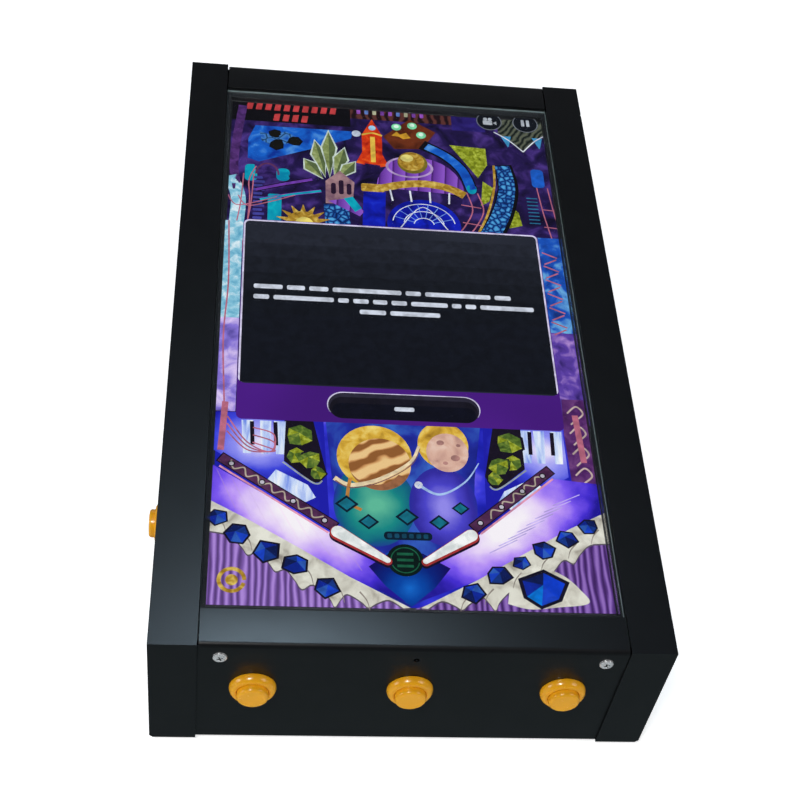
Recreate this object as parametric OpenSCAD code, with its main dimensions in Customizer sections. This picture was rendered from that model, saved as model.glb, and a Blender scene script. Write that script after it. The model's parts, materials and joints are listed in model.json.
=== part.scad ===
// Tabletop digital pinball cabinet: a folded steel box with a sloping top, a flat screen under
// glass, three push buttons on the front and one on each side.
// Millimetres. X runs left to right, Y runs front to back, Z is up. The finished part stands on
// its rubber feet at z = 0, centred on the origin.
// Cabinet pieces are drawn from the front plane (y = 0) and the lower edge of the sides (z = 0),
// and placed() moves them to the finished position.

/* [Cabinet] */
// Overall width of the cabinet
body_w = 370; // [320:1:460]
// Length of the sloping top, front edge to rear edge
top_len = 605; // [590:1:760]
// Height of the side panels at the front
front_h = 120; // [118:1:170]
// Slope of the top, in degrees
slope = 7; // [4:0.5:10]
// Thickness of the folded steel sheet
sheet = 1.5; // [1:0.1:2]
// Width of the side panels' folded top and end flanges
flange_w = 33.5; // [28:0.5:40]
// Depth of the side panels' turned-down inner edge
inner_drop = 11; // [9:0.5:14]
// Width of the side panels' bottom flange
bottom_flange = 20; // [15:1:26]
// Chamfer on the lower front corner of each side
corner_chamfer = 2.5; // [1:0.5:4]
// Gap between neighbouring folded edges
seam_gap = 1; // [0.5:0.1:1.5]
// How far the front and rear panels stop above the sides' lower edge
panel_raise = 1.2; // [0.5:0.1:1.5]

/* [Top bars] */
// Depth of the front lip
lip_depth = 28.3; // [24:0.1:34]
// Depth of the rear crossbar
crossbar_depth = 32; // [26:0.5:38]
// Height of the bars' folded end faces
bar_drop = 20; // [18:0.5:24]
// Outside bend radius of the bars
bar_bend = 4; // [3:0.5:5]

/* [Screen] */
// Width of the picture area
screen_w = 296.5; // [240:0.5:300]
// Length of the picture area
screen_l = 527; // [440:1:560]
// Sideways offset of the screen from the cabinet's centre line
screen_shift = 1.3; // [0:0.1:2]
// Distance from the front edge of the top to the picture area
screen_start = 37.5; // [36:0.5:44]
// Width of the screen's metal rim around the picture area
rim_w = 7; // [5:0.5:8]
// How far the metal rim covers the picture area along its two long edges
rim_cover = 1.1; // [0:0.1:1.5]
// Thickness of the screen's metal rim
rim_t = 0.8; // [0.5:0.1:1]
// Thickness of the liquid crystal cell
cell_t = 1.8; // [1.2:0.1:2.4]
// Thickness of the backlight
backlight_t = 7; // [5:0.5:10]
// Thickness of the screen's back plate
back_plate_t = 1.2; // [0.8:0.1:1.6]

/* [Glass] */
// Thickness of the playfield glass
glass_t = 4; // [3:0.5:5]
// Depth of the glass below the top face
glass_depth = 3; // [2.6:0.1:4]
// Clearance around the glass
glass_gap = 0.6; // [0.4:0.1:1]
// Width of the spacer frame under the glass
spacer_w = 4; // [3:0.5:5]

/* [Buttons] */
// Sideways spacing of the front buttons
button_pitch = 112; // [90:1:120]
// Height of the front buttons
front_button_z = 68; // [60:1:74]
// Height of the side buttons
side_button_z = 44; // [42:1:60]
// Distance of the side buttons from the front plane
side_button_y = 165; // [120:1:220]
// Diameter of the button's rim
bezel_d = 33.4; // [31:0.1:34.5]
// Height of the button's rim
bezel_h = 6.5; // [4:0.1:7]
// Diameter of the button's barrel
barrel_d = 27.5; // [27:0.1:28.5]
// Length of the barrel behind the panel's front face
barrel_l = 24; // [22:0.5:28]
// Diameter of the moving plunger
plunger_d = 22.5; // [21:0.1:23]
// How far the plunger stands out from the panel
plunger_out = 11; // [9:0.1:12.5]
// Travel of the plunger
button_travel = 2.5; // [1.5:0.1:3]
// Radial running clearance of the plunger and the switch pin
running_gap = 0.08; // [0.05:0.01:0.1]
// Outside diameter of the button's nut
nut_d = 36; // [34:0.5:38]
// Thickness of the button's nut
nut_t = 7; // [5:0.5:8]

/* [Feet and screws] */
// Diameter of the rubber feet
foot_d = 20; // [16:1:24]
// How far the feet stand below the sides
foot_drop = 5; // [3:0.5:8]
// Inset of the feet's centres from the cabinet's sides and ends
foot_inset = 40; // [34:1:50]
// Diameter of the panel screws
screw_d = 4; // [3:0.5:4.5]
// Sideways distance of the bars' screws from the centre line
bar_screw_x = 135.8; // [120:0.1:140]
// Distance of the bars' screws below the top edge
bar_screw_drop = 13.5; // [12:0.5:15]

/* [Power] */
// Sideways place of the mains inlet on the rear panel
inlet_x = 96; // [80:1:110]
// Height of the mains inlet on the rear panel
inlet_z = 42; // [34:1:60]
// Sideways place of the power switch on the rear panel
switch_x = 44; // [30:1:55]
// Tilt of the rocker to each side, in degrees
rocker_tilt = 11; // [8:1:13]

/* [Hidden] */
BUTTONS = ["front_left", "front_center", "front_right", "side_left", "side_right"];
BUTTON_PIECES = ["housing", "plunger", "spring", "switch", "switch_pin"];
$fn = 64;

// Cabinet
half_w = body_w / 2;
open_half = half_w - flange_w;
body_len = top_len * cos(slope);
rear_h = front_h + top_len * sin(slope);
wall_gap = 0.5;
panel_half = half_w - sheet - wall_gap;
front_face = sheet;
rear_face = body_len - sheet;
floor_z = 2 * sheet;
bar_half = open_half - seam_gap;
bend_steps = 8;
screw_hole_gap = 0.2;
screw_hole_r = screw_d / 2 + screw_hole_gap;
bar_screw_front_z = front_h - bar_screw_drop;
bar_screw_rear_z = rear_h - bar_screw_drop;
rear_screw_x = half_w - flange_w / 2;
rear_screw_zs = [30, rear_h - 34];
base_screw_x = half_w - bottom_flange / 2;
base_screw_ys = [30, body_len / 2, body_len - 30];
nick_l = 3;
nick_from_rear = 38;
edge_start = 4 * sheet;
panel_gap = 0.3;
cut_over = 1;

// Screen and glass, as depths below the top face
glass_low = glass_depth + glass_t;
rim_seat_gap = 0.3;
rim_top = inner_drop + rim_seat_gap;
cell_top = rim_top + rim_t;
cell_gap = 0.1;
backlight_top = cell_top + cell_t + cell_gap;
back_plate_top = backlight_top + backlight_t;
screen_low = back_plate_top + back_plate_t;
screen_mid = screen_start + screen_l / 2;
rim_half = screen_w / 2 + rim_w;
glass_start = bar_bend + 6;
glass_end = top_len - crossbar_depth - glass_gap;
seal_l = 12;
seal_inset = 2;
seal_gap = 0.05;
crossbar_drop = rim_top + 3;
bracket_l = 60;
bracket_leg = 24;
bracket_reach = 12;
stud_h = 6;

// Buttons: heights along the button's own axis, zero at the panel's outer face
hole_r = barrel_d / 2 + 0.25;
barrel_wall = 1.35;
chamber_r = barrel_d / 2 - barrel_wall;
stem_gap = 0.2;
neck_depth = 6;
retainer_t = 2;
cap_edge_r = 2.2;
rear_wall = 2;
post_r = 6.5;
post_low = -3;
stem_r = 2.4;
stem_low = -barrel_l + 3;
pin_r = 1.6;
switch_size = [27.8, 10.3, 15.9];
pin_depth = 5;
spring_r = 4.6;
wire_r = 0.45;
spring_turns = 6;
spring_steps = 10;
wire_sides = 6;

// Rear fittings
inlet_flange = [50, 22.6, 2.2];
inlet_body = [27, 19.8, 18];
inlet_cavity = [24.2, 16.2, 15];
inlet_pitch = 40;
inlet_screw_hole_r = 1.7;
pin_blade = [2, 4, 13];
pin_spacing = 7;
pin_rise = 2;
rocker_size = [9, 8];
switch_flange = [15, 21, 2];
switch_body = [13, 19, 15];
rocker_gap = 0.3;
rocker_face = 3.2;
pivot_r = 1;
pivot_depth = 0.6;

// Inner boards: centre x, centre y, width, length
main_board_at = [-70, 330, 140, 100];
amplifier_at = [85, 250, 62, 46];
encoder_at = [0, 190, 74, 42];
driver_at = [40, 330, 120, 70];
board_t = 1.6;
standoff_h = 6;
standoff_inset = 4;
solder = 0.1;
supply_at = [95, 420];
supply_size = [82, 129, 38];
speaker_at = [95, 95];
speaker_d = 77;

// The box that encloses the part, which centres it on the origin
front_most = front_face - plunger_out;
rocker_corner = rocker_tilt + asin(rocker_face * cos(rocker_tilt) / rocker_size[1]);
rear_most = rear_face + rocker_size[1] * sin(rocker_corner + rocker_tilt);
mid_y = (front_most + rear_most) / 2;

// ---- Helpers ----------------------------------------------------------------------------

module placed() { translate([0, -mid_y, foot_drop]) children(); }

// The sloping frame of the top: x across, y along the slope, z = 0 on the top face.
module on_top() { translate([0, 0, front_h]) rotate([slope, 0, 0]) children(); }

// Extrudes a side-view outline (y, z) from x0 to x1.
module along_x(x0, x1) { translate([x0, 0, 0]) rotate([90, 0, 90]) linear_extrude(x1 - x0) children(); }

// A slab between two corners.
module slab(from, to) { translate(from) cube(to - from); }

// A cylinder along Y, from y0 to y1.
module rod_y(x, z, r, y0, y1) { translate([x, y0, z]) rotate([-90, 0, 0]) cylinder(r = r, h = y1 - y0); }

// A cylinder along Z, from z0 to z1.
module rod_z(x, y, r, z0, z1) { translate([x, y, z0]) cylinder(r = r, h = z1 - z0); }

// Points of an arc in the side view, about [cy, cz], from angle a0 to a1.
function arc(cy, cz, r, a0, a1) =
    [for (i = [0:bend_steps]) let (a = a0 + (a1 - a0) * i / bend_steps) [cy + r * cos(a), cz + r * sin(a)]];

// A point of the side view that lies l along the slope and depth below the top face.
function top_point(l, depth) =
    [l * cos(slope) + depth * sin(slope), front_h + l * sin(slope) - depth * cos(slope)];

function top_z(y) = front_h + y * tan(slope);

// A frame: a plate with a rectangular opening, both given as corner pairs.
module frame_plate(outer_from, outer_to, inner_from, inner_to) {
    difference() {
        slab(outer_from, outer_to);
        slab([inner_from[0], inner_from[1], outer_from[2] - 1], [inner_to[0], inner_to[1], outer_to[2] + 1]);
    }
}

// The outline of a round-ended slot, w long and h high.
module slot_outline(w, h) {
    square([w - h, h], center = true);
    for (s = [-1, 1]) translate([s * (w - h) / 2, 0]) circle(d = h);
}

// A pan-head screw: the head stands up from z = 0, the shank runs down.
module pan_screw(d, shank) {
    head_r = 1.25 * d;
    head_h = 0.5 * d;
    crown = 0.7 * head_h;
    cross = [head_r, 0.24 * d, 0.36 * d];
    dome = [for (i = [0:6]) let (a = i * 15)
        [head_r - 2 * crown * (1 - cos(a)), head_h - crown + crown * sin(a)]];
    difference() {
        union() {
            rotate_extrude() polygon(concat([[0, 0], [head_r, 0]], dome, [[0, head_h]]));
            translate([0, 0, -shank]) cylinder(d = d, h = shank + 0.2);
        }
        for (a = [0, 90]) rotate([0, 0, a]) translate([0, 0, head_h])
            cube([cross[0], cross[1], 2 * cross[2]], center = true);
    }
}

// ---- Folded cabinet ----------------------------------------------------------------------

module side_outline() {
    polygon([[0, 0], [body_len, 0], [body_len, rear_h], [0, front_h]]);
}

// The right side; the left one is its mirror image. Its folds run past the outline, which trims them.
module side_shell() {
    color([0.07, 0.07, 0.08]) difference() {
        intersection() {
            along_x(0, half_w) side_outline();
            union() {
                slab([half_w - sheet, -1, -1], [half_w + 1, body_len + 1, rear_h + 1]);
                slab([half_w - bottom_flange, front_face + sheet + panel_gap, -1],
                     [half_w + 1, rear_face - sheet - panel_gap, sheet]);
                slab([open_half, -1, -1], [half_w + 1, sheet, rear_h + 1]);
                slab([open_half, rear_face, -1], [half_w + 1, body_len + 1, rear_h + 1]);
                on_top() slab([open_half, -1, -sheet], [half_w + 1, top_len + 1, 1]);
                on_top() slab([open_half, edge_start, -inner_drop], [open_half + sheet, top_len - edge_start, 1]);
            }
        }
        translate([half_w, 0, 0]) rotate([0, 45, 0])
            cube([corner_chamfer * sqrt(2), 4 * sheet, corner_chamfer * sqrt(2)], center = true);
        translate([half_w - 2 * sheet, side_button_y, side_button_z]) rotate([0, 90, 0])
            cylinder(r = hole_r, h = 3 * sheet);
        for (z = rear_screw_zs) rod_y(rear_screw_x, z, screw_hole_r, rear_face - cut_over, body_len + cut_over);
        for (y = base_screw_ys) rod_z(base_screw_x, y, screw_hole_r, -cut_over, sheet + cut_over);
        on_top() translate([half_w, top_len - nick_from_rear, 0]) cube([1, nick_l, 2], center = true);
    }
}

module side_panel_right() { side_shell(); }

module side_panel_left() { mirror([1, 0, 0]) side_shell(); }

module front_panel() {
    color([0.08, 0.08, 0.09]) difference() {
        slab([-panel_half, front_face, panel_raise],
             [panel_half, front_face + sheet, front_h - bar_bend - panel_gap]);
        for (i = [-1:1]) rod_y(i * button_pitch, front_button_z, hole_r, 0, front_face + sheet + cut_over);
        for (x = [-bar_screw_x, 0, bar_screw_x])
            rod_y(x, bar_screw_front_z, screw_hole_r, 0, front_face + sheet + cut_over);
    }
}

// The lip: a strip of the top that folds down over the front panel with a round nose.
module front_lip() {
    nose = [bar_bend, front_h + bar_bend * tan(slope) - bar_bend / cos(slope)];
    outline = concat(
        [[0, front_h - bar_drop]], arc(nose[0], nose[1], bar_bend, 180, 90 + slope),
        [top_point(lip_depth, 0), top_point(lip_depth, sheet)],
        arc(nose[0], nose[1], bar_bend - sheet, 90 + slope, 180), [[sheet, front_h - bar_drop]]);
    color([0.07, 0.07, 0.08]) difference() {
        along_x(-bar_half, bar_half) polygon(outline);
        for (x = [-bar_screw_x, 0, bar_screw_x])
            rod_y(x, bar_screw_front_z, screw_hole_r, -cut_over, sheet + cut_over);
    }
}

// The crossbar: the same fold at the rear, with a turned-down edge that stops the glass.
module rear_crossbar() {
    heel = [body_len - bar_bend, top_z(body_len - bar_bend) - bar_bend / cos(slope)];
    outline = concat(
        [[body_len, rear_h - bar_drop]], arc(heel[0], heel[1], bar_bend, 0, 90 + slope),
        [top_point(top_len - crossbar_depth, 0), top_point(top_len - crossbar_depth, crossbar_drop),
         top_point(top_len - crossbar_depth + sheet, crossbar_drop),
         top_point(top_len - crossbar_depth + sheet, sheet)],
        arc(heel[0], heel[1], bar_bend - sheet, 90 + slope, 0), [[body_len - sheet, rear_h - bar_drop]]);
    color([0.07, 0.07, 0.08]) difference() {
        along_x(-bar_half, bar_half) polygon(outline);
        for (s = [-1, 1])
            rod_y(s * bar_screw_x, bar_screw_rear_z, screw_hole_r, rear_face - cut_over, body_len + cut_over);
    }
}

module rear_panel() {
    vent = [46, 4];
    vent_rows = 6;
    vent_pitch = 9;
    vent_x = 70;
    vent_z = 92;
    cutout_gap = 0.4;
    y0 = rear_face - sheet;
    color([0.08, 0.08, 0.09]) difference() {
        slab([-panel_half, y0, panel_raise], [panel_half, rear_face, top_z(y0) - bar_bend - panel_gap]);
        for (s = [-1, 1]) {
            rod_y(s * bar_screw_x, bar_screw_rear_z, screw_hole_r, y0 - cut_over, rear_face + cut_over);
            for (z = rear_screw_zs) rod_y(s * rear_screw_x, z, screw_hole_r, y0 - cut_over, rear_face + cut_over);
            rod_y(inlet_x + s * inlet_pitch / 2, inlet_z, inlet_screw_hole_r, y0 - cut_over, rear_face + cut_over);
            for (i = [0:vent_rows - 1])
                translate([s * vent_x, rear_face + cut_over, vent_z + i * vent_pitch]) rotate([90, 0, 0])
                    linear_extrude(sheet + 2 * cut_over) slot_outline(vent[0], vent[1]);
        }
        translate([inlet_x, y0, inlet_z])
            cube([inlet_body[0] + cutout_gap, 4 * sheet, inlet_body[1] + cutout_gap], center = true);
        translate([switch_x, y0, inlet_z])
            cube([switch_body[0] + cutout_gap, 4 * sheet, switch_body[1] + cutout_gap], center = true);
    }
}

module base_plate() {
    grille_r = 2.5;
    grille_pitch = 9;
    color([0.1, 0.1, 0.11]) difference() {
        slab([-panel_half, front_face + sheet + panel_gap, sheet],
             [panel_half, rear_face - sheet - panel_gap, floor_z]);
        for (s = [-1, 1], y = base_screw_ys) rod_z(s * base_screw_x, y, screw_hole_r, 0, floor_z + cut_over);
        for (s = [-1, 1]) translate([s * speaker_at[0], speaker_at[1], 0]) {
            rod_z(0, 0, grille_r, 0, floor_z + cut_over);
            for (ring = [1:3], i = [0:6 * ring - 1])
                rotate([0, 0, i * 60 / ring]) rod_z(grille_pitch * ring, 0, grille_r, 0, floor_z + cut_over);
        }
    }
}

module rubber_feet() {
    tread_r = foot_d / 2 - 1.2;
    recess_r = 4.5;
    recess_depth = 2;
    color([0.05, 0.05, 0.05])
        for (sx = [-1, 1], y = [foot_inset, body_len - foot_inset])
            translate([sx * (half_w - foot_inset), y, -foot_drop]) difference() {
                cylinder(r1 = tread_r, r2 = foot_d / 2, h = foot_drop + sheet);
                translate([0, 0, -cut_over]) cylinder(r = recess_r, h = recess_depth + cut_over);
            }
}

// ---- Screws and nuts ---------------------------------------------------------------------

// A screw reaches past the sheets that it holds by this much.
screw_past = 4;

module front_screws() {
    cross_turn = 20;
    color([0.85, 0.86, 0.88])
        for (s = [-1, 1]) translate([s * bar_screw_x, 0, bar_screw_front_z])
            rotate([90, 0, 0]) rotate([0, 0, cross_turn]) pan_screw(screw_d, 3 * sheet + screw_past);
}

module rear_screws() {
    color([0.85, 0.86, 0.88]) for (s = [-1, 1]) {
        for (z = rear_screw_zs) translate([s * rear_screw_x, body_len, z])
            rotate([-90, 0, 0]) pan_screw(screw_d, 3 * sheet + screw_past);
        translate([s * bar_screw_x, body_len, bar_screw_rear_z])
            rotate([-90, 0, 0]) pan_screw(screw_d, 3 * sheet + screw_past);
    }
}

module base_screws() {
    color([0.2, 0.2, 0.21])
        for (s = [-1, 1], y = base_screw_ys) translate([s * base_screw_x, y, 0])
            rotate([180, 0, 0]) pan_screw(screw_d, 2 * sheet + screw_past);
}

// Round nuts pressed into the sheet behind every panel screw.
module clinch_nuts() {
    clinch_r = screw_d;
    clinch_h = 3;
    thread_gap = 0.1;
    module nut() {
        difference() {
            cylinder(r = clinch_r, h = clinch_h);
            translate([0, 0, -cut_over]) cylinder(d = screw_d + thread_gap, h = clinch_h + 2 * cut_over);
        }
    }
    color([0.7, 0.71, 0.73]) for (s = [-1, 1]) {
        translate([s * bar_screw_x, front_face + sheet, bar_screw_front_z]) rotate([-90, 0, 0]) nut();
        translate([s * bar_screw_x, rear_face - sheet, bar_screw_rear_z]) rotate([90, 0, 0]) nut();
        for (z = rear_screw_zs) translate([s * rear_screw_x, rear_face - sheet, z]) rotate([90, 0, 0]) nut();
        for (y = base_screw_ys) translate([s * base_screw_x, y, floor_z]) nut();
    }
}

// ---- Glass and screen --------------------------------------------------------------------

module playfield_glass() {
    color([0.6, 0.75, 0.72, 0.35]) on_top()
        slab([glass_gap - open_half, glass_start, -glass_low],
             [open_half - glass_gap, glass_end, -glass_depth]);
}

// The frame that holds the glass above the screen, all round its edge.
module glass_spacer() {
    out = open_half - glass_gap / 2;
    front_margin = 5;
    rear_margin = 1;
    color([0.25, 0.26, 0.27]) on_top()
        frame_plate([-out, glass_start, -rim_top], [out, glass_end, -glass_low],
                    [spacer_w - out, screen_start - front_margin],
                    [out - spacer_w, screen_start + screen_l + rear_margin]);
}

// The soft strip between the lip and the front end of the glass.
module lip_seal() {
    color([0.05, 0.05, 0.05]) on_top()
        slab([seal_inset - bar_half, glass_start + seal_inset, -glass_depth],
             [bar_half - seal_inset, glass_start + seal_inset + seal_l, -sheet - seal_gap]);
}

module lcd_rim() {
    skirt = backlight_t + cell_t;
    x0 = screen_shift - rim_half;
    x1 = screen_shift + rim_half;
    l0 = screen_start - rim_w;
    l1 = screen_start + screen_l + rim_w;
    color([0.09, 0.09, 0.1]) on_top() union() {
        frame_plate([x0, l0, -cell_top], [x1, l1, -rim_top],
                    [screen_shift - screen_w / 2 + rim_cover, screen_start],
                    [screen_shift + screen_w / 2 - rim_cover, screen_start + screen_l]);
        frame_plate([x0, l0, -cell_top - skirt], [x1, l1, -rim_top],
                    [x0 + rim_t, l0 + rim_t], [x1 - rim_t, l1 - rim_t]);
    }
}

module lcd_cell() {
    edge = 2.5;
    color([0.02, 0.02, 0.03]) on_top()
        slab([screen_shift - screen_w / 2 - edge, screen_start - edge, -cell_top - cell_t],
             [screen_shift + screen_w / 2 + edge, screen_start + screen_l + edge, -cell_top]);
}

module lcd_backlight() {
    edge = rim_w - rim_t - rim_seat_gap;
    color([0.93, 0.93, 0.9]) on_top()
        slab([screen_shift - screen_w / 2 - edge, screen_start - edge, -back_plate_top],
             [screen_shift + screen_w / 2 + edge, screen_start + screen_l + edge, -backlight_top]);
}

module lcd_back_plate() {
    stud_r = 3;
    joint = 0.2;
    stud_x = driver_at[2] / 2 - standoff_inset;
    stud_y = driver_at[3] / 2 - standoff_inset;
    color([0.7, 0.71, 0.72]) on_top() union() {
        slab([screen_shift - rim_half, screen_start - rim_w, -screen_low],
             [screen_shift + rim_half, screen_start + screen_l + rim_w, -back_plate_top]);
        for (sx = [-1, 1], sy = [-1, 1])
            translate([driver_at[0] + sx * stud_x, driver_at[1] + sy * stud_y, -screen_low - stud_h])
                cylinder(r = stud_r, h = stud_h + joint);
    }
}

// Four angle brackets on the side walls that carry the screen's back plate.
module lcd_brackets() {
    wall_x = half_w - sheet;
    shelf_x = rim_half + screen_shift - bracket_reach;
    from_end = 110;
    color([0.6, 0.61, 0.62]) on_top()
        for (s = [-1, 1], l = [from_end, top_len - from_end - bracket_l]) {
            mirror([s < 0 ? 1 : 0, 0, 0]) union() {
                slab([shelf_x, l, -screen_low - sheet], [wall_x, l + bracket_l, -screen_low]);
                slab([wall_x - sheet, l, -screen_low - bracket_leg], [wall_x, l + bracket_l, -screen_low]);
            }
        }
}

module lcd_driver_board() {
    low = screen_low + stud_h + board_t;
    chips = [[-30, 10, 22, 22, 3], [10, -8, 14, 14, 2], [-48, -18, 16, 10, 9], [36, 12, 24, 12, 8]];
    color([0.1, 0.35, 0.2]) on_top() translate([driver_at[0], driver_at[1], -low]) union() {
        translate([-driver_at[2] / 2, -driver_at[3] / 2, 0]) cube([driver_at[2], driver_at[3], board_t]);
        for (c = chips)
            translate([c[0] - c[2] / 2, c[1] - c[3] / 2, -c[4]]) cube([c[2], c[3], c[4] + solder]);
    }
}

// ---- Boards, supply and speakers -----------------------------------------------------------

// A circuit board on its standoffs; parts are [x, y, width, length, height] from the centre.
module board(at, parts) {
    translate([at[0], at[1], floor_z + standoff_h]) union() {
        translate([-at[2] / 2, -at[3] / 2, 0]) cube([at[2], at[3], board_t]);
        for (p = parts)
            translate([p[0] - p[2] / 2, p[1] - p[3] / 2, board_t - solder]) cube([p[2], p[3], p[4] + solder]);
    }
}

module main_board() {
    color([0.08, 0.3, 0.18]) board(main_board_at, [
        [-8, -2, 34, 34, 2.4], [26, -4, 14, 12, 1.4], [26, 14, 14, 12, 1.4], [-58, 28, 16, 18, 14],
        [-58, 0, 16, 18, 14], [-58, -28, 16, 14, 6], [58, 20, 12, 22, 9], [10, 42, 44, 8, 6], [56, -30, 14, 20, 8]]);
}

module main_board_heatsink() {
    fins = 8;
    pitch = 5;
    fin = [1, 9];
    base = [36, 36, 3];
    chip_h = 2.4;
    z0 = floor_z + standoff_h + board_t + chip_h;
    color([0.75, 0.76, 0.78]) translate([main_board_at[0] - 8, main_board_at[1] - 2, z0]) union() {
        translate([-base[0] / 2, -base[1] / 2, 0]) cube(base);
        for (i = [0:fins - 1])
            translate([-base[0] / 2 + i * pitch, -base[1] / 2, base[2] - solder]) cube([fin[0], base[1], fin[1]]);
    }
}

module amplifier_board() {
    color([0.1, 0.2, 0.45]) board(amplifier_at, [
        [0, 4, 26, 10, 20], [-22, -14, 10, 12, 12], [22, -14, 10, 12, 12], [0, -16, 16, 8, 10]]);
}

module button_encoder_board() {
    color([0.1, 0.1, 0.12]) board(encoder_at,
        [[0, 0, 14, 14, 2], [0, 15, 60, 6, 6], [-28, -12, 9, 12, 5], [0, -15, 40, 6, 6]]);
}

module board_standoffs() {
    color([0.8, 0.65, 0.3])
        for (b = [main_board_at, amplifier_at, encoder_at], sx = [-1, 1], sy = [-1, 1])
            translate([b[0] + sx * (b[2] / 2 - standoff_inset), b[1] + sy * (b[3] / 2 - standoff_inset), floor_z])
                cylinder(d = 6, h = standoff_h, $fn = 6);
}

// A ventilated metal case with its terminal block on the front end.
module power_supply() {
    slots = 9;
    slot = [54, 4, 3];
    slot_pitch = 10;
    first_slot = -34;
    terminal_l = 14;
    terminal_inset = [5, 1];
    tray_t = 1.5;
    joint = 0.5;
    corner = [-supply_size[0] / 2, -supply_size[1] / 2, 0];
    color([0.72, 0.73, 0.74]) translate([supply_at[0], supply_at[1], floor_z]) union() {
        difference() {
            translate(corner + [0, terminal_l, 0])
                cube([supply_size[0], supply_size[1] - terminal_l, supply_size[2]]);
            for (i = [0:slots - 1])
                translate([0, first_slot + i * slot_pitch, supply_size[2] - 0.5]) cube(slot, center = true);
        }
        translate(corner) cube([supply_size[0], terminal_l + joint, tray_t]);
        translate(corner + [terminal_inset[0], terminal_inset[1], tray_t - joint])
            cube([supply_size[0] - 2 * terminal_inset[0], terminal_l - terminal_inset[1] + joint, terminal_l]);
    }
}

module speaker_baskets() {
    r = speaker_d / 2;
    profile = [[r - 7, 0], [r, 0], [r, 1.5], [r - 6, 1.5], [24, 17], [22.5, 17],
               [22.5, 30], [0, 30], [0, 18], [21, 18], [21, 16], [r - 8, 1.5]];
    color([0.3, 0.3, 0.32])
        for (s = [-1, 1]) translate([s * speaker_at[0], speaker_at[1], floor_z]) rotate_extrude() polygon(profile);
}

module speaker_cones() {
    r = speaker_d / 2 - 8.5;
    profile = [[0, 9], [8, 7], [10, 11], [r - 3, 1.2], [r, 1.2], [r, 2],
               [r - 2.5, 2], [11, 13.5], [11, 16], [10, 16], [10, 13], [0, 13]];
    color([0.12, 0.12, 0.13])
        for (s = [-1, 1]) translate([s * speaker_at[0], speaker_at[1], floor_z]) rotate_extrude() polygon(profile);
}

// ---- Power inlet and switch ----------------------------------------------------------------

// Local frame of a fitting on the rear panel: z points out of the panel.
module on_rear(x) { translate([x, rear_face, inlet_z]) rotate([-90, 0, 0]) children(); }

module mains_inlet() {
    color([0.06, 0.06, 0.06]) on_rear(inlet_x) difference() {
        union() {
            translate([0, 0, inlet_flange[2] / 2]) cube(inlet_flange, center = true);
            translate([0, 0, -inlet_body[2] / 2]) cube(inlet_body + [0, 0, 0.2], center = true);
        }
        translate([0, 0, (inlet_flange[2] - inlet_cavity[2]) / 2])
            cube([inlet_cavity[0], inlet_cavity[1], inlet_cavity[2] + inlet_flange[2] + 0.02], center = true);
        for (s = [-1, 1]) translate([s * inlet_pitch / 2, 0, -cut_over])
            cylinder(r = inlet_screw_hole_r, h = inlet_flange[2] + 2 * cut_over);
    }
}

module inlet_pins() {
    tab_l = 7;
    color([0.8, 0.75, 0.55]) on_rear(inlet_x)
        for (p = [[-pin_spacing, -pin_rise], [0, pin_rise + 2], [pin_spacing, -pin_rise]]) {
            translate([p[0] - pin_blade[0] / 2, p[1] - pin_blade[1] / 2, -inlet_cavity[2]]) cube(pin_blade);
            translate([p[0] - 0.4, p[1] - 2, -inlet_body[2] - 0.1 - tab_l]) cube([0.8, 4, tab_l]);
        }
}

module inlet_screws() {
    color([0.75, 0.76, 0.78]) on_rear(inlet_x)
        for (s = [-1, 1]) translate([s * inlet_pitch / 2, 0, inlet_flange[2]]) pan_screw(3, 10);
}

// The switch's case; the rocker turns in a round pocket on two short pivots.
module power_switch_body() {
    tab = [0.8, 4.8, 8];
    color([0.06, 0.06, 0.06]) on_rear(switch_x) difference() {
        union() {
            translate([0, 0, switch_flange[2] / 2]) cube(switch_flange, center = true);
            translate([0, 0, -switch_body[2] / 2]) cube(switch_body + [0, 0, 0.2], center = true);
            for (y = [-6, 0, 6]) translate([0, y, -switch_body[2] - tab[2] / 2]) cube(tab, center = true);
        }
        rotate([0, 90, 0]) translate([0, 0, -rocker_size[0] / 2 - rocker_gap])
            cylinder(r = rocker_size[1] + rocker_gap, h = rocker_size[0] + 2 * rocker_gap);
        rotate([0, 90, 0]) translate([0, 0, -rocker_size[0] / 2 - pivot_depth - rocker_gap])
            cylinder(r = pivot_r + running_gap, h = rocker_size[0] + 2 * pivot_depth + 2 * rocker_gap);
    }
}

// Two shallow faces that meet over the pivot; it rests tilted to its off side.
module power_switch_rocker() {
    reach = 12;
    edge_h = rocker_face + reach * tan(rocker_tilt);
    color([0.12, 0.12, 0.12]) on_rear(switch_x) rotate([-rocker_tilt, 0, 0]) union() {
        intersection() {
            rotate([0, 90, 0]) translate([0, 0, -rocker_size[0] / 2]) cylinder(r = rocker_size[1], h = rocker_size[0]);
            rotate([90, 0, 90]) translate([0, 0, -rocker_size[0] / 2]) linear_extrude(rocker_size[0])
                polygon([[-reach, -reach], [reach, -reach], [reach, edge_h], [0, rocker_face], [-reach, edge_h]]);
        }
        rotate([0, 90, 0]) translate([0, 0, -rocker_size[0] / 2 - pivot_depth])
            cylinder(r = pivot_r, h = rocker_size[0] + 2 * pivot_depth);
    }
}

// ---- Push buttons --------------------------------------------------------------------------

// Places a child drawn along z, with z = 0 on the panel's outer face and +z pointing outwards.
module at_button(i) {
    if (i < 3) translate([(i - 1) * button_pitch, front_face, front_button_z]) rotate([90, 0, 0]) children();
    else mirror([i == 3 ? 1 : 0, 0, 0])
        translate([half_w, side_button_y, side_button_z]) rotate([0, 90, 0]) children();
}

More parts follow.
